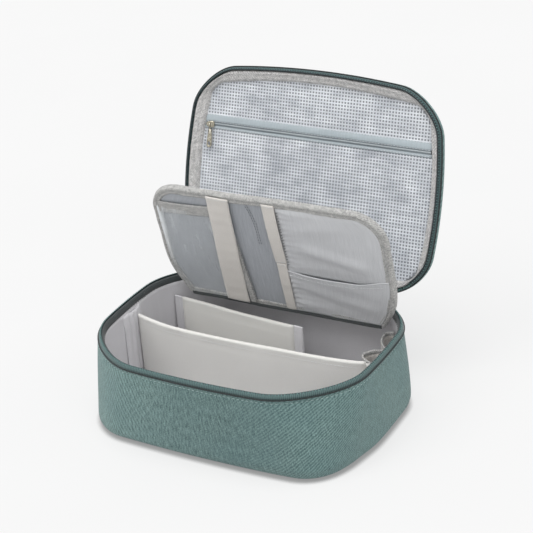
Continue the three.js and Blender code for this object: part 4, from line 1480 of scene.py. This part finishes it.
def make_panel_binding():
    outline = panel_outline(2.4)
    s = arc_length(outline, True)[:-1]
    inward = -flat_normals(outline)
    wander = 0.35 * value_noise(s / 24, 0, 151) + 0.18 * value_noise(s / 7, 0, 152)
    path = at_height(outline, 0) + inward * wander[:, None]
    world = PANEL_PLANE.place(path)
    sideways = PANEL_PLANE.place(path + inward) - world
    upward = np.broadcast_to(PANEL_PLANE.out, world.shape)
    profile = [(5.5, 2.5), (5.1, 3.2), (4.2, 3.6), (3.1, 3.5), (2.3, 2.9), (1.6, 3.3), (0.4, 3.7),
               (-1.1, 3.3),
               (-2.3, 2.0), (-2.7, 0.4), (-2.5, -1.4), (-1.4, -2.8), (0.6, -3.4), (3.2, -3.4), (5.0, -3.0),
               (5.3, -2.5), (3.0, -1.8), (0.5, 0.0), (3.0, 1.8)]
    width = 1 + 0.05 * value_noise(s / 10, 0, 153)
    roll = profile_sweep("panel_binding_roll", world, sideways, upward, profile, BINDING, True, width)
    ride_panel(roll, "binding", "panel_binding")
    seam = at_height(outline, 3.2) + inward * (wander[:, None] + 2.3)
    for word, side in (("", 1), ("_back", -1)):
        seam[:, 2] = 3.2 * side
        thread = stitches("panel_binding_stitch" + word, PANEL_PLANE.place(seam), PANEL_PLANE.out * side,
                          BINDING_THREAD, 2.3, 1.2, 0.26, True)
        ride_panel(thread, "binding")


def band_on_panel(name, start, end, width_start, width_end, w, bulge, material, seed, thickness=0.9,
                  pucker=0.0):
    """A strap between two points (x, v): flat with soft edges, arched by bulge between its ends."""
    start, end = np.array(start, float), np.array(end, float)
    count = max(int(np.linalg.norm(end - start) / 1.6), 8)
    t = np.linspace(0, 1, count)
    middle = start + (end - start) * t[:, None]
    along = (end - start) / np.linalg.norm(end - start)
    side = np.array([along[1], -along[0]])
    width = width_start + (width_end - width_start) * t
    rows = []
    for across in np.linspace(-1, 1, 13):
        edge = -0.35 * abs(across) ** 6
        ripple = pucker * np.sin(t * count * 0.9 + 0.4 * across) + 0.12 * value_noise(t * count / 7, across,
                                                                                      seed)
        lift = bulge(t) if callable(bulge) else bulge * np.sin(math.pi * t)
        sway = 0.5 * value_noise(t * count / 16, 0, seed + 3)
        flat = middle + side * (across * width / 2 + sway)[:, None]
        rows.append(np.column_stack([flat, w + lift + edge + ripple]))
    return sheet_on(PANEL_PLANE, name, rows, material, thickness)


def panel_thread(name, points, w, material, length=2.2, space=1.1, radius=0.24, slot="binding"):
    """A row of stitches on the panel through (x, v) points."""
    path = resample(np.asarray(points, float), 120)
    local = at_height(path, w)
    thread = stitches(name, PANEL_PLANE.place(local), PANEL_PLANE.out, material, length, space, radius)
    ride_panel(thread, slot)


COVER_TOP = 97.0


def make_brush_cover():
    left, _ = panel_edges(4.5)

    def right_line(v):
        return -40.0 + (v - 90) * (-40.0 + 31.2) / 92

    def height(x, v):
        lift = 1.7 * smoothstep(0, 8, x - left(v)) * smoothstep(0, 10, right_line(v) - x)
        lift = lift * (1 - 0.8 * smoothstep(-82, -60, x)) * smoothstep(-6, 30, v)
        wave = 0.8 * value_noise(x / 24, v / 40, 161) + 0.35 * value_noise(x / 9, v / 30, 162)
        return 3.5 + (1.2 + wave) * lift

    cover = panel_sheet("brush_cover_film", left, right_line, -3.0, COVER_TOP, height, VINYL, 2.4, 50)
    ride_panel(cover, "clear_film", "brush_cover")
    top = band_on_panel("brush_cover_top_tape", (-108.6, 96.4), (-38, 101.2), 12.4, 11.2, 4.3, 0.5, BINDING,
                        163, 0.9)
    ride_panel(top, "binding", "brush_cover_band_top")
    side = band_on_panel("brush_cover_side_tape", (-36.4, 95.5), (-27.8, -3.0), 6.4, 7.2, 4.4, 0.4, BINDING,
                         164, 0.9)
    ride_panel(side, "binding", "brush_cover_band_side")
    panel_thread("cover_side_stitch_outer", [(-33.6, 95), (-24.9, -2)], 4.9, DARK_THREAD, 1.9, 0.9, 0.26)
    panel_thread("cover_side_stitch_inner", [(-38.9, 95), (-30.5, -2)], 4.9, BINDING_THREAD, 2.2, 1.1, 0.22)
    panel_thread("cover_top_stitch_low", [(-108, 91.8), (-40, 96.9)], 4.9, BINDING_THREAD)
    panel_thread("cover_top_stitch_high", [(-108, 101.4), (-40, 105.6)], 4.9, BINDING_THREAD)


def make_straps():
    def wide_lift(t):
        return 1.6 + 1.1 * np.sin(math.pi * np.clip(t * 1.02, 0, 1)) * (0.8 + 0.2 * np.sin(t * 14))

    for name, node, start, end, widths, out, bulge, seed, thickness in (
            ("wide_elastic_strap", "wide_brush_strap", (-41.6, 118.5), (-44.6, -3.0), (22.5, 23.5), 4.2,
             wide_lift, 171, 1.1),
            ("narrow_elastic_strap_top", "narrow_brush_strap_upper", (9.6, 118.5), (10.6, 52.6),
             (12.8, 11.6), 4.3,
             1.4, 172, 1.0),
            ("narrow_elastic_strap_low", "narrow_brush_strap_lower", (11.0, 52.2), (11.4, -3.0),
             (10.2, 9.6), 4.3,
             1.0, 173, 1.0)):
        strap = band_on_panel(name, start, end, *widths, out, bulge, ELASTIC, seed, thickness, 0.10)
        ride_panel(strap, "elastic", node)
    for n, (x0, x1, v, w) in enumerate(((-52.0, -31.5, 116.8, 5.9), (3.8, 15.4, 116.8, 4.7), (5.6, 15.6, 54.0, 4.6),
                                        (6.6, 15.4, 50.8, 4.6))):
        panel_thread(f"strap_end_stitch_{n}", [(x0, v), (x1, v)], w, LIGHT_THREAD, 1.5, 0.6, 0.26, "elastic")
    marks = np.arange(52, 112, 3.1)
    centres = PANEL_PLANE.place(line_of(17.4 + (112 - marks) * 0.012, marks, 4.0))
    along = np.broadcast_to(np.array([1.0, 0, 0]) + 0.35 * PANEL_PLANE.up, centres.shape)
    overlock = bars("strap_side_overlock", centres, along, PANEL_PLANE.out, DARK_THREAD, 1.9, 0.3)
    ride_panel(overlock, "elastic")


def make_slip_pockets():
    _, right = panel_edges(4.6)
    crease_upper = [((30, 74), (104, 62), 2.2), ((20, 92), (90, 104), 0.9), ((18, 52), (80, 56), 0.7)]
    crease_lower = [((18, 30), (104, 14), 1.5), ((40, 40), (112, 30), 0.6), ((18, 8), (60, 3), 0.7)]

    def folds(x, v, creases):
        total = 0.0
        for (x0, v0), (x1, v1), depth in creases:
            along = np.array([x1 - x0, v1 - v0], float)
            length = np.linalg.norm(along)
            along /= length
            t = ((x - x0) * along[0] + (v - v0) * along[1]) / length
            off = -(x - x0) * along[1] + (v - v0) * along[0]
            ends = smoothstep(-0.1, 0.25, t) * smoothstep(1.1, 0.75, t)
            total = total + depth * np.exp(-(off / 6.5) ** 2) * ends
        return total

    def fall(x, v, low, high):
        inner = smoothstep(0, 12, x - 15) * smoothstep(0, 12, right(v) - x)
        return inner * smoothstep(low - 1, low + 9, v) * smoothstep(high + 1, high - 6, v)

    def gathers(x, v):
        """Small tucks where the satin is caught in the seam beside the strap."""
        near = np.exp(-np.clip(x - 15.5, 0, None) / 7.0) * smoothstep(15.5, 18.0, x)
        return 0.75 * near * np.sin(v * 2 * math.pi / 6.2 + 1.4 * value_noise(x / 14, v / 11, 185))

    def upper_height(x, v):
        body = 0.9 + 0.9 * value_noise(x / 30, v / 26, 181) + folds(x, v, crease_upper)
        return 3.1 + np.clip(body, 0, 4.6) * fall(x, v, 44, 117) + gathers(x, v)

    def mouth(x):
        open_share = np.sin(math.pi * np.clip((x - 15) / 104, 0, 1)) ** 0.7
        return open_share * (1.4 + 1.6 * smoothstep(110, 30, x))

    def lower_height(x, v):
        body = 0.8 + 0.8 * value_noise(x / 26, v / 22, 183) + folds(x, v, crease_lower)
        inner = smoothstep(0, 10, x - 15) * smoothstep(0, 10, right(v) - x) * smoothstep(-4, 8, v)
        return 3.4 + np.clip(body, 0, 3.6) * inner + mouth(x) * smoothstep(20, 45, v) + gathers(x, v)

    upper = panel_sheet("slip_pocket_upper_cloth", lambda v: 15.5, right, 42.0, 116.6, upper_height, SATIN,
                        1.5, 84,
                        0.5)
    ride_panel(upper, "satin", "slip_pocket_upper")

    def top_line(x):
        return 44.2 - 1.6 * smoothstep(15, 50, x) + 0.3 * smoothstep(60, 80, x) + 7.5 * smoothstep(84, 119, x)

    rows = []
    for t in np.linspace(0, 1, 34):
        v_mid = -3.4 + (44.0 + 3.4) * t
        x = np.linspace(15.5, right(v_mid), 84)
        v = -3.4 + (top_line(x) + 3.4) * t
        rows.append(np.column_stack([x, v, lower_height(x, v)]))
    lower = sheet_on(PANEL_PLANE, "slip_pocket_lower_cloth", rows, SATIN, 0.5)
    ride_panel(lower, "satin", "slip_pocket_lower")
    x = np.linspace(16, 117.5, 90)
    edge = np.column_stack([x, top_line(x), 3.6 + mouth(x)])
    world = PANEL_PLANE.place(edge)
    side = np.broadcast_to(PANEL_PLANE.up, world.shape)
    out = np.broadcast_to(PANEL_PLANE.out, world.shape)
    hem = profile_sweep("slip_pocket_hem", world, side, out, round_profile(0.75, 8, 0.9), SATIN)
    ride_panel(hem, "satin")
    panel_thread("slip_pocket_hem_stitch", [(18, 40.6), (60, 39.4), (84, 39.8), (112, 45)],
                 4.0 + mouth(np.linspace(18, 112, 120)) + 0.9, LIGHT_THREAD, 2.2, 1.2, 0.2, "satin")
    panel_thread("slip_pocket_side_stitch", [(17.2, 114), (17.2, -2)], 3.75, BINDING_THREAD, 2.2, 1.1, 0.22,
                 "satin")


def make_panel_trim():
    curve = [(-17, 119), (-14.5, 113), (-12, 106), (-10.4, 100), (-9.2, 94), (-8.6, 86), (-8.4, 70)]
    panel_thread("ground_stitch_a", curve, 3.1, DARK_THREAD, 2.0, 1.0, 0.24, "panel_ground")
    panel_thread("ground_stitch_b", [(x + 2.2, v) for x, v in curve], 3.1, DARK_THREAD, 2.0, 1.0, 0.24,
                 "panel_ground")
    foot = band_on_panel("panel_foot_tape_cloth", (-96, -4.8), (102, -4.8), 4.0, 4.0, 4.3, 0.2, DARK_BAND,
                         191, 0.7)
    ride_panel(foot, "dark_trim", "panel_foot_tape")


# ---------------------------------------------------------------- cloth hinges
def make_panel_web():
    """The cloth that ties the panel's foot to the back wall, shaped in one fixed place between them."""
    rows = []
    foot = PANEL_PLANE.place(np.array([[0.0, -5.0, 0.0]]))[0]
    for t in np.linspace(0, 1, 12):
        y = foot[1] + 1.0 + (88.5 - foot[1] - 1.0) * t
        half = 100 - 16 * smoothstep(0.55, 1, t)
        x = np.linspace(-half + 2, half + 2, 70)
        z = foot[2] + (77.2 - foot[2]) * smoothstep(0, 0.8, t) - 1.6 * math.sin(math.pi * t)
        z = z + 0.5 * value_noise(x / 24, t * 2, 201)
        rows.append(line_of(x, y, z))
    web = grid("panel_web_cloth", rows, LINING)
    fix_normals(web, (0, 0, 1))
    add_thickness(web, 0.8, 0.0)
    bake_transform(web)
    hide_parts("panel_web")


def make_lid_hinge():
    """The strip of outer fabric that the lid turns on; its long edges follow the parts they are sewn to."""
    x = np.linspace(-97.0, 97.0, 90)
    rim = rounded_outline(RIM)
    rim = rim[rim[:, 1] > 40]
    rim = rim[np.argsort(rim[:, 0])]
    case_edge = line_of(x, np.interp(x, rim[:, 0], rim[:, 1]) + 0.4, SEAM_HEIGHT - 1.2)
    edge = lid_outline(0.2)
    edge = edge[edge[:, 1] < 45]
    edge = edge[np.argsort(edge[:, 0])]
    lid_low = np.interp(x, edge[:, 0], edge[:, 1])
    lid_edge = LID_PLANE.place(line_of(x, lid_low + 0.3, LID_SEAM - 1.2))
    control = [case_edge, case_edge + np.array([0, 0.9, 3.2]),
               (case_edge + lid_edge) / 2 + np.array([0, 0.9, 0.4]),
               lid_edge + np.array([0, 0.3, -1.6]), lid_edge]
    rows = []
    for t in np.linspace(0, 1, 14):
        k = min(int(t * 4), 3)
        share = t * 4 - k
        row = control[k] * (1 - share) + control[k + 1] * share
        row[:, 1] += 0.35 * value_noise(x / 12, t * 2, 211) * math.sin(math.pi * t)
        row[:, 0] *= 1 - 0.03 * math.sin(math.pi * t)
        rows.append(row)
    cloth = [np.column_stack([np.full(len(x), 14.0 * t), x + 130]) for t in np.linspace(0, 1, 14)]
    hinge = grid("lid_hinge_cloth", rows, OXFORD, cloth=cloth)
    fix_normals(hinge, (0, 1, 0))
    add_thickness(hinge, 0.9, 0.0)
    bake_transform(hinge)


# ---------------------------------------------------------------- studio and camera
def make_stage():
    mesh = bpy.data.meshes.new("floor")
    bm = bmesh.new()
    bmesh.ops.create_grid(bm, x_segments=24, y_segments=24, size=6.0)
    bm.to_mesh(mesh)
    bm.free()
    floor = bpy.data.objects.new("floor", mesh)
    floor.location.z = -0.0004
    mesh.materials.append(floor_paper())
    COLLECTION.objects.link(floor)
    world = bpy.data.worlds.new("studio")
    bpy.context.scene.world = world
    world.use_nodes = True
    background = world.node_tree.nodes["Background"]
    background.inputs["Color"].default_value = (1.0, 1.0, 1.0, 1)
    background.inputs["Strength"].default_value = 0.70
    bpy.context.scene.view_settings.view_transform = "Standard"


def soft_light(name, place, spread, strength):
    """A broad studio light so far away that it falls evenly over the object and the paper."""
    data = bpy.data.lights.new(name, "SUN")
    data.angle = math.radians(spread)
    data.energy = strength
    light = bpy.data.objects.new(name, data)
    light.location = place
    light.rotation_euler = (-Vector(place)).to_track_quat("-Z", "Y").to_euler()
    COLLECTION.objects.link(light)


def make_lights():
    soft_light("key", (-1.1, -1.3, 2.12), 32, 0.74)
    soft_light("fill", (2.0, -1.6, 1.52), 36, 0.42)
    soft_light("top", (0.1, -0.2, 2.4), 34, 1.78)


def make_camera():
    """The camera stands where the photo was taken from, found from the outlines of the case and the lid."""
    azimuth, elevation, roll = math.radians(30.35), math.radians(26.84), -0.0818
    target, distance = Vector((0.02266, 0.0, 0.14946)), 1.4361
    back = Vector((math.sin(azimuth) * math.cos(elevation), -math.cos(azimuth) * math.cos(elevation),
                   math.sin(elevation)))
    right = (-back).cross(Vector((0, 0, 1))).normalized()
    up = right.cross(-back)
    turned_right = math.cos(roll) * right + math.sin(roll) * up
    turned_up = -math.sin(roll) * right + math.cos(roll) * up
    data = bpy.data.cameras.new("camera")
    data.sensor_width = 36
    data.lens = 110.9
    data.clip_end = 50
    camera = bpy.data.objects.new("camera", data)
    COLLECTION.objects.link(camera)
    camera.matrix_world = Matrix.Translation(target + back * distance) @ Matrix(
        (turned_right, turned_up, back)).transposed().to_4x4()
    bpy.context.scene.camera = camera


for make in (make_camera, make_stage, make_lights, make_case_fabric, make_case_bottom, make_case_rim,
             make_case_band, make_case_lining, make_front_divider, make_divider_tabs, make_rear_divider,
             make_side_pocket, make_lid_shell, make_lid_rim, make_lid_binding, make_lid_lining,
             make_mesh_pockets, make_pocket_zip, make_pocket_slider, make_main_sliders, make_panel_body,
             make_panel_binding, make_brush_cover, make_straps, make_slip_pockets, make_panel_trim,
             make_panel_web, make_lid_hinge):
    make()
